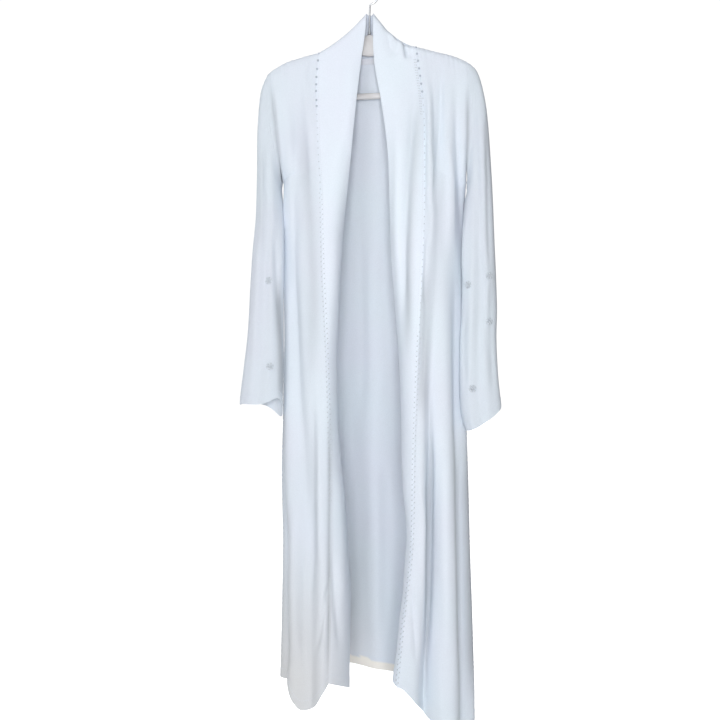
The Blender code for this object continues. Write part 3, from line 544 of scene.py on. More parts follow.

# Painted shade: the cloth's colour darkens where it lies in the shade of a fold, seam or armhole: drops, x
# there, half width, strength 0 to 1
leftArmhole = ((130, 200, 290, 400), (-206, -198, -189, -183), 5)
rightArmhole = ((150, 250, 350, 470), (203, 203, 200, 196), 4.5, 0.6)
leftSeam = ((790, 900, 1040, 1200, 1390), (-71, -70, -69, -69, -71), 4.5, 0.75)
paintedShades = {
    "frontLeft": (
        (*leftArmhole, 0.55),
        ((153, 267, 349, 452, 595, 800), (-151, -140, -128, -116, -106, -104), 13, 0.35),
        ((600, 900, 1100, 1390), (-180, -179, -177, -174), 9, 0.25),
        ((820, 1100, 1390), (-125, -125, -122), 34, 0.15),
        leftSeam,
    ),
    "bandLeft": (leftSeam,),
    "bandRight": (
        ((140, 260, 381, 547, 641, 760), (106, 98, 90, 86, 86, 84), 10, 0.55),
        ((56, 80, 102), (72.5, 75, 79), 3.2, 0.5),
    ),
    "frontRight": (
        rightArmhole,
        ((760, 940, 1050, 1200, 1450), (134, 131, 128, 124, 121), 4.5, 0.6),
        ((520, 640, 780, 860), (120, 118, 116, 118), 10, 0.5),
        ((840, 1000, 1200, 1450), (203, 204, 208, 214), 13, 0.75),
    ),
    "sleeveLeft": (
        (*leftArmhole, 0.45),
        ((540, 680, 840), (-184, -179, -173), 6, 0.8),
        ((250, 370, 520), (-222, -221, -216), 7, 0.15),
    ),
    "sleeveRight": (
        rightArmhole,
        ((140, 383, 640, 830), (236, 255, 260, 267), 8, 0.4),
    ),
}

drape = {
    "ends": 4.0,  # a line dies away over the first and last quarter of its length
    "waves": 7,  # how many are summed
    "waveLength": (45.0, 130.0),  # across
    "waveLean": 0.16,
    "slowLength": (260.0, 620.0),  # lengthwise
    "steady": 0.6,
    "swell": 0.4,
    "creaseReach": 9.0,  # creases die away this near a seam, so its two sheets still meet
    "waveReach": 22.0,
    "facing": 1.5,  # how sharply a sleeve's front creases give way to its rear ones
    "skew": (0.15, 0.35),  # sine of rows and columns where creases begin, and until they are full
    "palest": -0.2,  # least painted shade: below zero it is painted light, paler than the plain cloth
    "noEdge": 1e3,  # stands for an edge that a closed sheet lacks
}


def creaseHeights(points, drops, lines):
    x = points[..., 0] / mm
    total = np.zeros_like(x)
    for atDrops, atX, halfWidth, height in lines:
        centre = curveThrough(drops, atDrops, atX)
        slope = (atX[-1] - atX[0]) / (atDrops[-1] - atDrops[0])
        t = (drops - atDrops[0]) / (atDrops[-1] - atDrops[0])
        ends = ease(np.minimum(t, 1.0 - t) * drape["ends"])
        across = (x - centre) / math.hypot(1.0, slope) / halfWidth
        total += height * ends * np.exp(-(across**2))
    return total


def gentleWaves(points, seed, size):  # slow unevenness of hanging cloth, mostly lengthwise
    draw = np.random.default_rng(seed)
    total = np.zeros(points.shape[:-1])
    x, z = points[..., 0] / mm, points[..., 2] / mm
    for k in range(drape["waves"]):
        length = draw.uniform(*drape["waveLength"])
        lean = draw.uniform(-drape["waveLean"], drape["waveLean"])
        phase = draw.uniform(0.0, fullTurn)
        slow = draw.uniform(*drape["slowLength"])
        wave = np.sin(fullTurn * (x + lean * z) / length + phase)
        total += wave * (drape["steady"] + drape["swell"] * np.sin(fullTurn * z / slow + 2.0 * phase))
    return total * size / drape["waves"]


def headDistances(grid):  # how far each point is from the sleeve's head, and from where along it, in mm
    ring = grid[0] / mm
    start, step = ring[:-1], np.diff(ring, axis=0)
    lengths = np.linalg.norm(step, axis=-1)
    begins = np.cumsum(lengths) - lengths
    points = grid.reshape(-1, 1, 3) / mm
    t = np.clip(((points - start) * step).sum(-1) / lengths**2, 0.0, 1.0)
    away = np.linalg.norm(points - start - t[..., None] * step, axis=-1)
    nearest = (np.arange(len(points)), np.argmin(away, axis=1))
    return away[nearest].reshape(grid.shape[:2]), (begins + t * lengths)[nearest].reshape(grid.shape[:2])


def runAlong(grid, axis):  # cloth distance from the first row or column, in mm
    steps = np.linalg.norm(np.diff(grid, axis=axis), axis=-1) / mm
    return np.concatenate((np.zeros_like(np.take(steps, [0], axis)), np.cumsum(steps, axis=axis)), axis=axis)


def edgeDistances(grid, closed):  # cloth distance from each of the four edges, in mm
    first, top = runAlong(grid, 1), runAlong(grid, 0)
    far = np.full_like(first, drape["noEdge"])
    fromTop, topRun = headDistances(grid) if closed else (top, first)
    return {
        "first": far if closed else first,
        "last": far if closed else first[:, -1:] - first,
        "top": fromTop,
        "topRun": topRun,
        "bottom": top[-1:] - top,
        "u": first,
        "v": top,
    }


sewing = {
    "seamDip": 1.1,  # a seam lies this deep
    "seamReach": 3.0,
    "pucker": 0.45,
    "puckerReach": 12.0,
    "puckerEnd": 6.0,  # in reaches
    "puckerLength": 11.0,
    "puckerDrift": 17.0,
    "hemStep": 0.5,  # the doubled hem stands this proud
    "hemSoft": 2.5,
}


def seamRelief(edges, seams, hems, seed):
    total = np.zeros_like(edges["u"])
    for name in seams:
        away = edges[name]
        run = edges["v"] if name in ("first", "last") else edges["topRun"]
        total -= sewing["seamDip"] * np.exp(-((away / sewing["seamReach"]) ** 2))
        ripple = np.sin(fullTurn * run / sewing["puckerLength"] + seed)
        ripple = ripple * np.sin(run / sewing["puckerDrift"] + 2 * seed)
        near = away / sewing["puckerReach"]
        total += sewing["pucker"] * ripple * near * np.exp(1.0 - near) * (near < sewing["puckerEnd"])
    for name, width in hems:
        total += sewing["hemStep"] * (1.0 - ease((edges[name] - width) / sewing["hemSoft"] + 0.5))
    return total


def gridNormals(grid, facing, closed):
    across = np.gradient(grid, axis=1)
    if closed:
        across[:, 0] = across[:, -1] = (grid[:, 1] - grid[:, -2]) / 2.0
    return unit(np.cross(across, np.gradient(grid, axis=0))) * facing


# Materials

def newGroup(name, inputs):  # an effect: named values in, colour, roughness and height out
    group = bpy.data.node_groups.new(name, "ShaderNodeTree")
    kinds = {tuple: "NodeSocketColor", float: "NodeSocketFloat"}
    for label, value in inputs.items():
        socket = group.interface.new_socket(label, in_out="INPUT", socket_type=kinds[type(value)])
        socket.default_value = value
    for label, kind in (("Colour", tuple), ("Roughness", float), ("Height", float)):
        group.interface.new_socket(label, in_out="OUTPUT", socket_type=kinds[kind])
    return group, group.nodes.new("NodeGroupInput").outputs, group.nodes.new("NodeGroupOutput").inputs


def put(tree, kind, values=(), **settings):
    node = tree.nodes.new("ShaderNode" + kind)
    for name, value in settings.items():
        setattr(node, name, value)
    for name, value in dict(values).items():
        if isinstance(value, bpy.types.NodeSocket):
            tree.links.new(value, node.inputs[name])
        else:
            node.inputs[name].default_value = value
    return node


def sums(tree, operation, *terms):
    return put(tree, "Math", enumerate(terms), operation=operation).outputs[0]


def remap(tree, value, fromMin, fromMax, toMin=0.0, toMax=1.0):
    ends = {"From Min": fromMin, "From Max": fromMax, "To Min": toMin, "To Max": toMax}
    return put(tree, "MapRange", {"Value": value, **ends}).outputs[0]


def blend(tree, amount, first, second):
    return put(tree, "Mix", {0: amount, 6: first, 7: second}, data_type="RGBA").outputs[2]


def noise(tree, place, scale, detail):
    return put(tree, "TexNoise", {"Vector": place, "Scale": scale, "Detail": detail}).outputs["Fac"]


def linkOutputs(group, target, colour, roughness, height):
    for label, socket in (("Colour", colour), ("Roughness", roughness), ("Height", height)):
        group.links.new(socket, target[label])


clothLook = {
    "pebble": (620.0, 2.0),  # scale and detail
    "slub": (75.0, 3.0),
    "tone": (5.5, 2.0),
    "toneRange": (0.35, 0.65),
    "grainRange": (0.3, 0.7),
    "grainTone": (0.965, 1.02),
    "grainRoughness": (-0.04, 0.04),
    "weaveHeight": 0.25,
    "slubHeight": 1.2,
    "lowShadeDown": (-1.12, -1.42),  # metres, from unshaded to full painted shade
    "lowShadeAside": (0.03, -0.13),
    # how far the painted fold shade darkens the colour
    "foldShade": -0.45,
}


def clothGroup():  # crepe: fine crossed threads, pebbled grain, slow unevenness of tone, with painted shade low on the left and along folds, and painted light on the turned hem
    look = clothLook
    group, source, target = newGroup("crepeCloth", {
        "Colour": (0.8, 0.83, 0.89, 1),
        "Second Colour": (0.8, 0.8, 0.88, 1),
        "Turned Hem Light": (0.9, 0.88, 0.85, 1),
        "Low Painted Shade": (0.72, 0.73, 0.75, 1),
        "Threads per metre": 900.0,
        "Grain": 1.0,
        "Roughness": 0.8,
    })
    place = put(group, "TexCoord").outputs["Object"]
    split = put(group, "SeparateXYZ", {0: put(group, "UVMap", uv_map="cloth").outputs[0]}).outputs
    turns = sums(group, "MULTIPLY", source["Threads per metre"], fullTurn)
    across, down = (sums(group, "SINE", sums(group, "MULTIPLY", split[axis], turns)) for axis in (0, 1))
    pebble, slub, tone = (noise(group, place, *look[name]) for name in ("pebble", "slub", "tone"))
    grain = sums(group, "MULTIPLY_ADD", sums(group, "MULTIPLY", across, down), look["weaveHeight"], 0.5)
    height = sums(group, "MULTIPLY", sums(group, "ADD", grain, pebble), source["Grain"])
    height = sums(group, "ADD", height, sums(group, "MULTIPLY", slub, look["slubHeight"]))
    patches = remap(group, tone, *look["toneRange"])
    colour = blend(group, patches, source["Colour"], source["Second Colour"])
    spot = put(group, "SeparateXYZ", {0: place}).outputs
    # Painted shade: the colour darkens low down and towards the left of the garment, where less light falls.
    low, aside = remap(group, spot[2], *look["lowShadeDown"]), remap(group, spot[0], *look["lowShadeAside"])
    colour = blend(group, sums(group, "MULTIPLY", low, aside), colour, source["Low Painted Shade"])
    turned, shaded = (
        put(group, "Attribute", attribute_name=name).outputs["Fac"] for name in ("litTurnedHem", "foldShade")
    )
    # On the hem turned up inside the back the colour is paler, as doubled cloth is, and warmer: painted warm
    # light from the floor.
    colour = blend(group, turned, colour, source["Turned Hem Light"])
    darker = remap(group, pebble, *look["grainRange"], *look["grainTone"])
    # Painted shade: the foldShade attribute darkens the colour.
    fold = sums(group, "MULTIPLY_ADD", shaded, look["foldShade"], 1.0)
    scale = sums(group, "MULTIPLY", darker, fold)
    colour = put(group, "VectorMath", {0: colour, "Scale": scale}, operation="SCALE").outputs[0]
    rough = remap(group, slub, *look["grainRange"], *look["grainRoughness"])
    linkOutputs(group, target, colour, sums(group, "ADD", rough, source["Roughness"]), height)
    return group


wearLook = {"detail": 5.0, "markRange": (0.42, 0.68), "polish": 0.14}


def wearGroup():  # hard trim: slight mottling, scuffs and uneven polish
    group, source, target = newGroup("handledSurface", {
        "Colour": (0.7, 0.7, 0.7, 1),
        "Worn Colour": (0.6, 0.6, 0.6, 1),
        "Scale": 120.0,
        "Roughness": 0.3,
    })
    marks = noise(group, put(group, "TexCoord").outputs["Object"], source["Scale"], wearLook["detail"])
    mask = remap(group, marks, *wearLook["markRange"])
    colour = blend(group, mask, source["Colour"], source["Worn Colour"])
    polish = sums(group, "MULTIPLY_ADD", mask, wearLook["polish"], source["Roughness"])
    linkOutputs(group, target, colour, polish, marks)
    return group


def newMaterial(name, group, values, bump, distance, sockets):
    material = bpy.data.materials.new(name)
    material.use_nodes = True
    tree = material.node_tree
    shader = tree.nodes["Principled BSDF"]
    effect = put(tree, "Group", node_tree=group)
    for label, value in values.items():
        effect.inputs[label].default_value = value
    relief = put(tree, "Bump", {"Height": effect.outputs["Height"], "Strength": bump, "Distance": distance})
    tree.links.new(effect.outputs["Colour"], shader.inputs["Base Color"])
    tree.links.new(effect.outputs["Roughness"], shader.inputs["Roughness"])
    tree.links.new(relief.outputs[0], shader.inputs["Normal"])
    for label, value in sockets.items():
        shader.inputs[label].default_value = value
    return material


clothFinishes = {  # name, the effect's values, bump strength and distance, the shader's own sockets
    "crepe": (
        "whiteCrepe",
        {
            "Colour": (0.762, 0.832, 0.905, 1), "Second Colour": (0.768, 0.812, 0.900, 1),
            # Next: the turned hem's colour, paler and warmer, is painted light; the low colour after it is
            # painted shade for the lower left.
            "Turned Hem Light": (0.93, 0.90, 0.85, 1), "Low Painted Shade": (0.69, 0.70, 0.715, 1),
            "Threads per metre": 950.0, "Grain": 1.0,
        },
        0.35, 0.0004, {"Sheen Weight": 0.12, "Sheen Roughness": 0.5, "Specular IOR Level": 0.2},
    ),
    "tape": (
        "twillTape",
        {
            # The tape's colour is paler than the crepe's: painted light, lifting the shade it lies in inside
            # the back neck.
            "Colour": (0.83, 0.85, 0.91, 1), "Second Colour": (0.80, 0.82, 0.89, 1),
            "Threads per metre": 600.0, "Grain": 1.6,
        },
        0.5, 0.0005, {"Sheen Weight": 0.1},
    ),
}
wornFinishes = {  # name, colour, worn colour, scale, roughness, bump strength and distance, sockets
    "thread": ("sewingThread", (0.74, 0.78, 0.86), (0.68, 0.72, 0.80), 900.0, 0.55, 0.3, 0.0002, {}),
    "beads": (
        "smokyBead", (0.44, 0.49, 0.57), (0.53, 0.57, 0.65), 420.0, 0.3, 0.15, 0.0002, {"Coat Weight": 0.3}
    ),
    "paleBeads": (
        "paleBead", (0.57, 0.62, 0.68), (0.65, 0.69, 0.74), 420.0, 0.35, 0.15, 0.0002, {"Coat Weight": 0.25}
    ),
    "hanger": ("ivoryMoulding", (0.70, 0.69, 0.70), (0.64, 0.625, 0.63), 38.0, 0.38, 0.12, 0.0004, {}),
    "hook": (
        "steelWire", (0.80, 0.81, 0.83), (0.70, 0.71, 0.73), 260.0, 0.42, 0.1, 0.0002, {"Metallic": 1.0}
    ),
}
clothEffect, wearEffect = clothGroup(), wearGroup()
finishes = {}
for key, (name, values, *rest) in clothFinishes.items():
    finishes[key] = newMaterial(name, clothEffect, values, *rest)
for key, (name, colour, worn, scale, roughness, *rest) in wornFinishes.items():
    values = {"Colour": (*colour, 1), "Worn Colour": (*worn, 1), "Scale": scale, "Roughness": roughness}
    finishes[key] = newMaterial(name, wearEffect, values, *rest)
print("materials made:", len(finishes))


# Making the pieces

sharpEdge = math.radians(55.0)


def finishPiece(bm, name, finish, replaced=()):
    for edge in bm.edges:
        edge.smooth = len(edge.link_faces) != 2 or edge.calc_face_angle() < sharpEdge
    for face in bm.faces:
        face.smooth = True
    mesh = bpy.data.meshes.new(name)
    bm.to_mesh(mesh)
    bm.free()
    mesh.materials.append(finishes[finish])
    piece = addObject(name, mesh)
    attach(piece, "root")
    if replaced:
        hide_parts(*replaced)
    return piece


def joined(grid, closed):  # a sleeve's last column is its first
    if closed:
        grid[:, -1] = grid[:, 0]
    return grid


def sheetHeights(name, grid, drops, normals, edges, values):
    height = seamRelief(edges, values["seams"], values["hems"], values["seed"])
    calm, fade = np.ones_like(height), np.ones_like(height)
    for edgeName in values["seams"]:
        calm *= ease(edges[edgeName] / drape["creaseReach"])
        fade *= ease(edges[edgeName] / drape["waveReach"])
    for lines, wanted, strength in values["creases"]:
        mask = 1.0 if wanted == 0 else ease(0.5 + drape["facing"] * wanted * normals[..., 1])
        if name == lines:
            mask = mask * calm
        height += creaseHeights(grid, drops, creases[lines]) * mask * strength
    height += gentleWaves(grid, values["seed"], values["waves"]) * fade
    if values["closed"]:  # plain where rows and columns run nearly together, under the arm
        least, over = drape["skew"]
        crossed = np.cross(unit(np.gradient(grid, axis=1)), unit(np.gradient(grid, axis=0)))
        height *= ease((np.linalg.norm(crossed, axis=-1) - least) / over)
    return joined(height, values["closed"])


def makeSheet(name, mid, values):
    grid, drops = toMetres(mid), mid[..., 2]
    facing, closed, wall = values["facing"], values["closed"], values["thick"] * mm
    normals = gridNormals(grid, facing, closed)
    edges = edgeDistances(grid, closed)
    height = sheetHeights(name, grid, drops, normals, edges, values)
    # Painted shade: the sheet's tone plus its fold lines darken its colour, and below zero they paint light.
    # The outer face keeps it; the inside face gets none.
    shade = values["tone"] + creaseHeights(grid, drops, paintedShades.get(name, ()))
    shade = joined(np.clip(shade, drape["palest"], 1.0), closed)
    surface = grid + normals * height[..., None] * mm
    normals = gridNormals(surface, facing, closed)
    outer = joined(surface + normals * values["thick"] / 2.0 * mm, closed)
    rows, columns = outer.shape[:2]
    bm = bmesh.new()
    layer = bm.loops.layers.uv.new("cloth")
    shaded = bm.verts.layers.float.new("foldShade")
    turned = bm.verts.layers.float.new("litTurnedHem")
    bmesh.ops.create_grid(bm, x_segments=columns - 1, y_segments=rows - 1, size=1.0)
    bm.verts.ensure_lookup_table()
    flat = outer.reshape(-1, 3)
    u, v, toHem = edges["u"].ravel() * mm, edges["v"].ravel() * mm, edges["bottom"].ravel()
    for vert in bm.verts:
        vert.co = flat[vert.index]
        vert[shaded] = shade.flat[vert.index]
    for face in bm.faces:
        for loop in face.loops:
            k = loop.vert.index
            loop[layer].uv = (u[k], v[k])
    if closed:
        bmesh.ops.remove_doubles(bm, verts=bm.verts, dist=weldWithin)
    if facing < 0:
        bmesh.ops.reverse_faces(bm, faces=bm.faces)
    bm.normal_update()
    skin = BVHTree.FromBMesh(bm)
    hemFaces = {face.index for face in bm.faces if toHem[face.verts[0].index] < values["litTurnedHem"]}
    bmesh.ops.solidify(bm, geom=list(bm.faces), thickness=wall)
    for vert in bm.verts:  # keeps the inside face one wall away where the sheet turns tightly
        near, lean, face, away = skin.find_nearest(vert.co)
        if away > values["mostWall"] * wall:
            vert.co = near - lean * wall
        # The inside face takes the turned hem's painted light and no painted fold shade.
        if away > 0.5 * wall:
            vert[turned] = float(face in hemFaces)
            vert[shaded] = 0.0
    piece = finishPiece(bm, name + "Cloth", values["slot"], (values["node"],))
    crossed = np.cross(grid[1:, 1:] - grid[:-1, :-1], grid[1:, :-1] - grid[:-1, 1:])
    area = float(np.linalg.norm(crossed, axis=-1).sum() / 2.0)
    print(f"{piece.name}: cloth {area:.3f} m2, widest {edges['u'][:, -1].max():.0f} mm,"
          f" longest {edges['v'][-1].max():.0f} mm, {len(piece.data.polygons)} faces")
    return {"piece": piece, "points": outer, "normals": normals}


# Columns of each mesh: the back has its own for either shoulder and the neck, a sleeve for either face
columnCounts = {"front": 84, "back": 44, "neck": 40, "band": 36, "sleeve": 34, "sleeveRows": 165}
forms = {}
for side in ("Left", "Right"):
    front = forms["front" + side] = frontGrid(side.lower(), columnCounts["front"])
    forms["band" + side] = bandGrid(side.lower(), front, columnCounts["band"])
    forms["sleeve" + side] = sleeveGrid(side.lower(), columnCounts["sleeveRows"], columnCounts["sleeve"])
forms["back"] = backGrid(columnCounts["back"], columnCounts["neck"])
forms["bandNeck"] = neckGrid(forms["bandLeft"][0], forms["bandRight"][0], columnCounts["neck"])

usual = {  # what a sheet has unless its own values say otherwise
    # tone is painted shade over a whole sheet; below zero it is painted light
    "facing": 1.0, "closed": False, "thick": 1.3, "mostWall": 1.4, "tone": 0.0, "litTurnedHem": 0.0,
    "seams": ("first", "last", "top"), "hems": (("bottom", 22.0),), "slot": "crepe",
    "restsOn": ["hanger_frame"],
}
# The bands' tone below zero is painted light, paling them where they lean back from the light.
bandUsual = {**usual, "thick": 1.8, "waves": 0.9, "tone": -0.12, "seams": ("first",)}
sleeveUsual = {**usual, "waves": 0.8, "closed": True, "seams": ("top",), "hems": (("bottom", 17.0),)}
sheets = {  # creases: which lines, on the front (-1), the rear (1) or both (0), how strong
    "back": {
        **usual, "node": "back", "seed": 3, "waves": 1.8, "litTurnedHem": 21.0,
        "creases": (("back", 0, 1.6), ("sideLeft", 0, 1.0), ("sideRight", 0, 1.0)),
        "flat": (0.58, 1.39), "area": 0.61,
    },
    # The fronts' small tone is painted shade.
    "frontLeft": {
        **usual, "node": "front_left", "seed": 5, "waves": 1.6, "tone": 0.05,
        "creases": (("frontLeft", 0, 1.9), ("sideLeft", 0, 1.0), ("seamLeft", 0, 1.0)),
        "flat": (0.27, 1.36), "area": 0.21,
    },
    "frontRight": {
        **usual, "node": "front_right", "facing": -1.0, "seed": 8, "waves": 1.3, "tone": 0.06,
        "creases": (("frontRight", 0, 1.9), ("deepRight", 0, 1.0), ("sideRight", 0, 1.0)),
        "flat": (0.29, 1.38), "area": 0.23,
    },
    "bandLeft": {
        **bandUsual, "node": "band_left", "facing": -1.0, "seed": 11,
        "creases": (("bandLeft", 0, 2.0), ("seamLeft", 0, 1.0)),
        "flat": (0.13, 1.41), "area": 0.105,
    },
    "bandRight": {
        **bandUsual, "node": "band_right", "seed": 13,
        "creases": (("bandRight", 0, 1.9), ("collarRight", 0, 1.0)),
        "flat": (0.125, 1.37), "area": 0.11,
    },
    "bandNeck": {
        **bandUsual, "node": "band_neck", "facing": -1.0, "seed": 17, "waves": 0.5, "tone": 0.0,
        "seams": ("top",), "hems": (), "creases": (("bandNeck", 0, 1.5),),
        "flat": (0.21, 0.09), "area": 0.010, "restsOn": ["backCloth"],
    },
    # The sleeves' tone is painted shade, where they turn away from the light.
    "sleeveLeft": {
        **sleeveUsual, "node": "sleeve_left", "facing": -1.0, "seed": 19, "tone": 0.2,
        "creases": (("sleeveLeft", -1, 1.3), ("sleeveRear", 1, 1.5), ("sleeveLeftInner", 0, 1.0)),
        "flat": (0.24, 0.72), "area": 0.115,
    },
    "sleeveRight": {
        **sleeveUsual, "node": "sleeve_right", "seed": 23, "tone": 0.22,
        "creases": (("sleeveRight", -1, 1.2), ("sleeveRear", 1, 1.5), ("sleeveRightInner", 0, 1.0)),
        "flat": (0.23, 0.74), "area": 0.12,
    },
}
made = {name: makeSheet(name, forms[name], values) for name, values in sheets.items()}


# The tape inside the back neck

tape = {
    **usual, "node": "neck_tape", "slot": "tape", "seed": 2, "waves": 0.0, "thick": 0.8, "seams": (),
    "hems": (), "creases": (), "inset": 1.5, "columns": (52, 78), "drops": (1.4, 4.0, 7.0, 10.5, 13.6),
    "flat": (0.135, 0.014), "area": 0.0017,
}


def pointAt(place, run, points):
    return [np.interp(place, run, points[:, k]) for k in range(3)]


def tapeGrid():
    inward = gridNormals(toMetres(forms["back"]), 1.0, False) * (1.0, 1.0, -1.0) * tape["inset"]
    behind = forms["back"] - inward
    rows = []
    for width in tape["drops"]:
        down = width / shape["panelLength"]
        rows.append([pointAt(down, downRows(), behind[:, column]) for column in range(*tape["columns"])])
    return np.array(rows)


made["tape"] = makeSheet("neckTape", tapeGrid(), tape)
print("cloth made")


# Stitches, beads and flowers

def edgePath(sheet, edge, inset):  # a line on the cloth, inset mm from one of its edges
    points, normals = sheet["points"], sheet["normals"]
    if edge == "last":
        points, normals = points[:, ::-1], normals[:, ::-1]
    if edge == "bottom":
        points, normals = points[::-1], normals[::-1]
    if edge in ("top", "bottom"):
        points, normals = points.transpose(1, 0, 2), normals.transpose(1, 0, 2)
    reach = runAlong(points, 1)
    line = [pointAt(inset, *row) for row in zip(reach, points)]
    facing = [pointAt(inset, *row) for row in zip(reach, normals)]
    return np.array(line), unit(np.array(facing))


def spacedAlong(line, facing, spacing, start=0.0, end=None):
    run = np.concatenate(([0.0], np.cumsum(np.linalg.norm(np.diff(line, axis=0), axis=-1)))) / mm
    for place in np.arange(start, run[-1] if end is None else min(end, run[-1]), spacing):
        spot, ahead, behind = (Vector(pointAt(place + step, run, line)) for step in (0.0, 1.0, -1.0))
        yield spot, (ahead - behind).normalized(), Vector(pointAt(place, run, facing)).normalized()


def dot(bm, spot, along, up, size, lift=0.0, detail=1):  # an ellipsoid lying on the cloth
    side = up.cross(along).normalized()
    along = side.cross(up).normalized()
    turn = Matrix((along, side, up)).transposed().to_4x4()
    scale = Matrix.Diagonal((size[0] * mm, size[1] * mm, size[2] * mm, 1.0))
    place = Matrix.Translation(spot + up * lift * mm) @ turn @ scale
    bmesh.ops.create_icosphere(bm, subdivisions=detail, radius=1.0, matrix=place)


def dotRow(bm, path, ends, values, detail=1):
    for spot, along, up in spacedAlong(*path, values["spacing"], *ends):
        dot(bm, spot, along, up, values["size"], values["lift"], detail)


stitching = {"size": (1.55, 0.42, 0.42), "spacing": 4.4, "lift": 0.02, "start": 3.0}
bodyLines = (("bottom", 19.5), ("last", 2.2))
bandLines = (("last", 3.0), ("first", 6.0), ("bottom", 19.5))
stitchLines = {
    "frontLeft": bodyLines,
    "frontRight": bodyLines,
    "back": (("bottom", 19.5), ("top", 2.2)),
    "bandLeft": bandLines,
    "bandRight": bandLines,
    "bandNeck": (("bottom", 3.0),),
    "sleeveLeft": (("bottom", 15.0),),
    "sleeveRight": (("bottom", 15.0),),
    "tape": (("bottom", 1.6),),
}
for name, lines in stitchLines.items():
    bm = bmesh.new()
    for edge, inset in lines:
        line, facing = edgePath(made[name], edge, inset)
        if name == "tape":  # sewn from its other face
            facing = -facing
            line = line + facing * tape["thick"] * mm
        dotRow(bm, (line, facing), (stitching["start"],), stitching)
    stitches = finishPiece(bm, name + "Stitches", "thread")
    print(stitches.name, len(stitches.data.polygons), "faces")

beadRows = {  # places are mm down the seam from the neck point
    "large": {
        "Left": (9, 25, 43, 60, 76, 90, 110, 123), "Right": (6, 22, 37, 53, 69, 86, 103),
        "size": (2.5, 2.5, 1.7), "lift": 0.8, "spacing": 10.0,
    },
    "small": {
        "Left": (141.0, 304.0), "Right": (118.0, 600.0),
        "size": (1.35, 1.35, 1.1), "lift": 0.5, "spacing": 14.6,
    },
    "pairs": {
        "Left": (312.0, 940.0), "Right": (610.0, 1310.0), "size": (1.45, 1.45, 1.15), "lift": 0.5,
        "spacing": 10.2, "aside": 2.7, "zigzag": 0.2, "bar": (2.2, 0.4, 0.4), "barLift": 0.2,
    },
    "speckle": {
        "Left": (), "Right": (5.4, 8.8), "ends": (38.0, 158.0),
        "size": (1.15, 1.15, 0.9), "lift": 0.3, "spacing": 5.6,
    },
}
for side in ("Left", "Right"):
    line, facing = edgePath(made["front" + side], "first", 0.0)
    bandLine, bandFacing = edgePath(made["band" + side], "first", 0.0)
    path = ((line + bandLine) / 2.0, unit(facing + bandFacing))
    bm = bmesh.new()
    for start in beadRows["large"][side]:
        dotRow(bm, path, (start, start + 1.0), beadRows["large"], 2)
    finishPiece(bm, "beadRow" + side, "beads")
    bm = bmesh.new()
    dotRow(bm, path, beadRows["small"][side], beadRows["small"], 2)
    pairs = beadRows["pairs"]
    for spot, along, up in spacedAlong(*path, pairs["spacing"], *pairs[side]):
        across = up.cross(along).normalized()
        offset = across * pairs["aside"] + along * pairs["zigzag"] * pairs["spacing"]
        for way in (-1.0, 1.0):
            dot(bm, spot + offset * way * mm, along, up, pairs["size"], pairs["lift"], 2)
        middle = spot + along * 0.5 * pairs["spacing"] * mm
        dot(bm, middle, across, up, pairs["bar"], pairs["barLift"])
    for aside in beadRows["speckle"][side]:
        inner = edgePath(made["band" + side], "first", aside)
        dotRow(bm, inner, beadRows["speckle"]["ends"], beadRows["speckle"])
    finishPiece(bm, "beadLadder" + side, "paleBeads")
print("bead rows sewn")

seed = (0.95, 0.95, 0.9)
flowers = {
    "places": (
        ("Left", -201, 557), ("Left", -196, 733), ("Right", 205, 569),
        ("Right", 247, 552), ("Right", 247, 643), ("Right", 214, 777),
    ),
    "seenFrom": -1000.0,  # y in front of the sleeves, from where a flower's place is found
    "foundFrom": 30.0,  # height above the cloth, from where a petal's place is found
    "petals": 6,
    "firstPetal": 0.25,  # of a petal's angle
    "heart": (2.3, 2.3, 1.7),
    "heartLift": 1.3,
    "parts": (  # turned by this share of half a petal's angle, reach, size, lift, detail
        (0.0, 4.9, (2.9, 1.9, 1.3), 0.9, 2),
        (-0.5, 7.2, seed, 0.4, 1),
        (0.5, 7.2, seed, 0.4, 1),
        (1.0, 3.675, seed, 0.6, 1),
    ),
}


def sleeveSkin(points):
    rows, columns = points.shape[:2]
    quads = [
        (i * columns + j, i * columns + j + 1, (i + 1) * columns + j + 1, (i + 1) * columns + j)
        for i in range(rows - 1) for j in range(columns - 1)
    ]
    return BVHTree.FromPolygons(points.reshape(-1, 3).tolist(), quads)


skins = {side: sleeveSkin(made["sleeve" + side]["points"]) for side in ("Left", "Right")}
for number, (side, x, drop) in enumerate(flowers["places"], start=1):
    centre = Vector((x, flowers["seenFrom"], -(shape["hookToCollar"] + drop))) * mm
    spot, up, _, _ = skins[side].ray_cast(centre, Vector((0, 1, 0)))
    up = up if up.y < 0 else -up
    across = Vector((0, 0, 1)).cross(up).normalized()
    upright = up.cross(across)
    bm = bmesh.new()
    dot(bm, spot, across, up, flowers["heart"], flowers["heartLift"], 2)
    for k in range(flowers["petals"]):
        for share, reach, size, lift, detail in flowers["parts"]:
            turn = fullTurn * (k + flowers["firstPetal"] + share / 2.0) / flowers["petals"]
            away = across * math.cos(turn) + upright * math.sin(turn)
            start = spot + away * reach * mm
            hit, _, _, _ = skins[side].ray_cast(start + up * flowers["foundFrom"] * mm, -up)
            dot(bm, hit or start, away, up, size, lift, detail)
    finishPiece(bm, f"beadFlower{number}", "paleBeads", (f"flower_{number}",))
print("flowers sewn")


# The hanger

hanger = {
    "x": (0, 14, 28, 50, 98, 110, 140, 172, 188, 198, 200, 192, 174, 140, 70, 0),
    "drop": (66, 69, 74, 79, 87.5, 88.9, 94.8, 105.6, 114.2, 122, 136, 156, 168, 171, 171.5, 171.5),
    "height": (46, 40, 22, 12, 12, 12, 12, 12, 12, 12, 12, 12, 13, 13, 13, 13),
    "depth": 9.0,
    "rings": 60,
    "sides": 20,
    "square": 0.7,  # roundness of the hanger's section, less is squarer
}


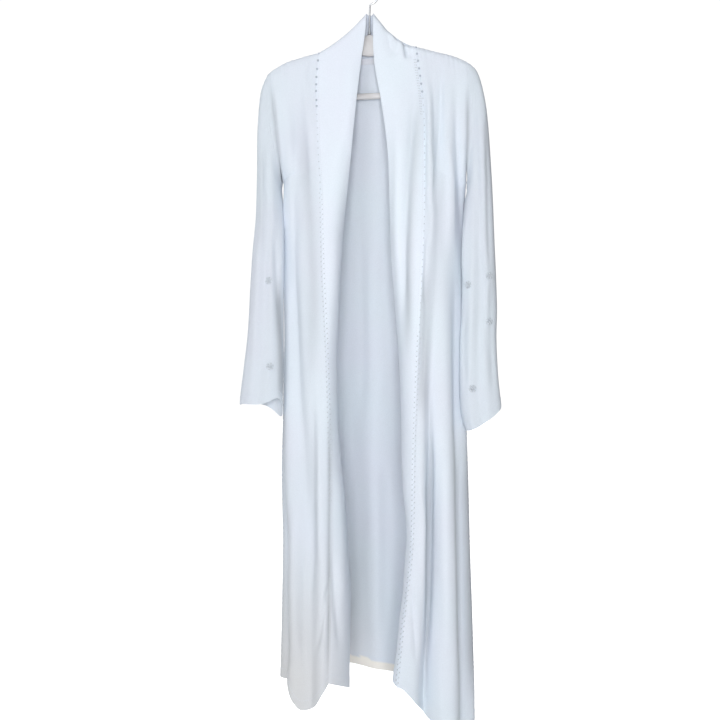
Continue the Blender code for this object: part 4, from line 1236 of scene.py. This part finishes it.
def makeHanger():
    steps = np.hypot(np.diff(hanger["x"]), np.diff(hanger["drop"]))
    run = np.concatenate(([0.0], np.cumsum(steps)))
    at = np.linspace(0.0, run[-1], hanger["rings"])
    half = np.stack([curveThrough(at, run, hanger[name]) for name in ("x", "drop", "height")], axis=-1)
    path = np.concatenate((half, half[-2:0:-1] * (-1, 1, 1)))
    bm = bmesh.new()
    loops = []
    for i, (x, drop, height) in enumerate(path):
        ahead, behind = path[(i + 1) % len(path)], path[i - 1]
        along = Vector((ahead[0] - behind[0], 0.0, behind[1] - ahead[1])).normalized()
        ring = bmesh.ops.create_circle(bm, segments=hanger["sides"], radius=1.0)["verts"]
        across = Vector((-along.z, 0.0, along.x)) * height / 2.0
        centre = Vector((x, 0.0, -(shape["hookToCollar"] + drop)))
        for vert in ring:
            turn = math.atan2(vert.co.y, vert.co.x)
            swell = math.copysign(abs(math.sin(turn)) ** hanger["square"], math.sin(turn))
            aside = Vector((0, 1, 0)) * hanger["depth"] / 2.0 * swell
            vert.co = (centre + across * math.cos(turn) + aside) * mm
        loops.append(list({edge for vert in ring for edge in vert.link_edges}))
    for first, second in zip(loops, loops[1:] + loops[:1]):
        bmesh.ops.bridge_loops(bm, edges=first + second)
    bmesh.ops.recalc_face_normals(bm, faces=bm.faces)
    return finishPiece(bm, "hangerBody", "hanger", ("hanger_frame",))


hook = {
    "inside": 17.0,
    "wire": 4.0,
    "arc": (-75, 196, 5),  # degrees
    "foot": -99.2,
    "neck": ((0.6, 5.0), (1.5, 0.5)),  # aside, below the hook's lowest point
    "ferrule": (3.6, 9.0),
    "taper": 1.0,
    "bevel": 0.7,
    "rimAngle": 1.0,  # radians, edges of the ferrule sharper than this are rounded
}


def makeHook():
    radius = hook["inside"] + hook["wire"] / 2.0
    centre = -hook["inside"]
    low = centre - radius
    line = [(0.0, hook["foot"]), (0.0, mix(hook["foot"], low, 0.5))]
    line += [(aside, low - below) for aside, below in hook["neck"]]
    for turn in map(math.radians, range(*hook["arc"])):
        line.append((radius * math.cos(turn), centre + radius * math.sin(turn)))
    curve = bpy.data.curves.new("hookLine", "CURVE")
    curve.dimensions = "3D"
    curve.bevel_depth = hook["wire"] / 2.0 * mm
    curve.bevel_resolution = 4
    curve.use_fill_caps = True
    spline = curve.splines.new("POLY")
    spline.points.add(len(line) - 1)
    for point, (x, z) in zip(spline.points, line):
        point.co = (x * mm, 0.0, z * mm, 1.0)
    wire = addObject("hookLine", curve)
    bpy.context.view_layer.update()
    bm = bmesh.new()
    bm.from_mesh(wire.evaluated_get(bpy.context.evaluated_depsgraph_get()).to_mesh())
    bpy.data.objects.remove(wire, do_unlink=True)
    bmesh.ops.remove_doubles(bm, verts=bm.verts, dist=weldWithin)
    tip = Vector((line[-1][0], 0.0, line[-1][1])) * mm
    bmesh.ops.create_uvsphere(
        bm, u_segments=16, v_segments=10, radius=hook["wire"] / 2.0 * mm, matrix=Matrix.Translation(tip)
    )
    wide, tall = hook["ferrule"]
    cone = bmesh.ops.create_cone(
        bm, cap_ends=True, segments=24, radius1=wide * mm, radius2=(wide - hook["taper"]) * mm,
        depth=tall * mm, matrix=Matrix.Translation((0.0, 0.0, (hook["foot"] + tall / 2.0) * mm)),
    )
    edges = {edge for vert in cone["verts"] for edge in vert.link_edges}
    rim = [edge for edge in edges if edge.calc_face_angle(0.0) > hook["rimAngle"]]
    bmesh.ops.bevel(
        bm, geom=rim, offset=hook["bevel"] * mm, segments=3, profile=0.5, affect="EDGES", material=-1
    )
    return finishPiece(bm, "hangerHook", "hook", ("hanger_hook",))


makeHanger()
makeHook()
print("hanger made")


# Floor, light and background

room = {
    "floor": -1.66,
    "floorBack": 3.0,
    "floorSize": 9.0,
    "floorTone": 0.92,
    "floorRoughness": 0.9,
    "floorGlow": 0.95,
    "backdrop": 1.05,
    "sky": (0.97, 0.99, 1.0),
    "ground": (1.0, 0.985, 0.96),
    "horizon": (-0.6, 0.6),
    "ambient": 0.27,
    "aim": (0.0, 0.0, -0.75),
    "lights": (  # name, place, size, watts, colour
        ("axisLight", (0.30, -2.65, -0.62), 1.1, 39.0, (1.0, 1.0, 1.0)),
        ("highLight", (-1.1, -1.5, 1.4), 1.4, 18.0, (0.98, 0.99, 1.0)),
        ("rearLight", (-1.5, 1.9, 0.2), 1.2, 30.0, (1.0, 1.0, 1.0)),
    ),
}
white = (1.0, 1.0, 1.0, 1.0)


def makeFloor():
    bm = bmesh.new()
    bmesh.ops.create_grid(bm, x_segments=1, y_segments=1, size=room["floorSize"])
    mesh = bpy.data.meshes.new("paleFloor")
    bm.to_mesh(mesh)
    bm.free()
    floor = addObject("paleFloor", mesh)
    floor.location = (0.0, room["floorBack"], room["floor"])
    paint = bpy.data.materials.new("paleFloor")
    paint.use_nodes = True
    tree = paint.node_tree
    shader = tree.nodes["Principled BSDF"]
    shader.inputs["Base Color"].default_value = (*[room["floorTone"]] * 3, 1.0)
    shader.inputs["Roughness"].default_value = room["floorRoughness"]
    shader.inputs["Emission Color"].default_value = white
    seen = put(tree, "LightPath").outputs["Is Camera Ray"]
    tree.links.new(sums(tree, "MULTIPLY", seen, room["floorGlow"]), shader.inputs["Emission Strength"])
    mesh.materials.append(paint)


def makeLights():
    for name, place, size, power, colour in room["lights"]:
        data = bpy.data.lights.new(name, "AREA")
        data.shape = "RECTANGLE"
        data.size = data.size_y = size
        data.energy, data.color = power, colour
        lamp = addObject(name, data)
        lamp.location = place
        lamp.rotation_euler = (Vector(room["aim"]) - Vector(place)).to_track_quat("-Z", "Y").to_euler()


def makeWorld():  # soft light on the object, plain white behind it
    world = bpy.context.scene.world = bpy.data.worlds.new("studio")
    world.use_nodes = True
    tree = world.node_tree
    tree.nodes.clear()
    split = put(tree, "SeparateXYZ", {0: put(tree, "TexCoord").outputs["Generated"]}).outputs
    level = remap(tree, split[2], *room["horizon"])
    tint = blend(tree, level, (*room["ground"], 1.0), (*room["sky"], 1.0))
    soft = put(tree, "Background", {"Color": tint, "Strength": room["ambient"]}).outputs[0]
    plain = put(tree, "Background", {"Color": white, "Strength": room["backdrop"]}).outputs[0]
    seen = put(tree, "LightPath").outputs["Is Camera Ray"]
    both = put(tree, "MixShader", {0: seen, 1: soft, 2: plain}).outputs[0]
    put(tree, "OutputWorld", {0: both})


makeFloor()
makeLights()
makeWorld()
bpy.context.scene.view_settings.view_transform = "Standard"
bpy.context.scene.view_settings.look = "None"
print("room lit")
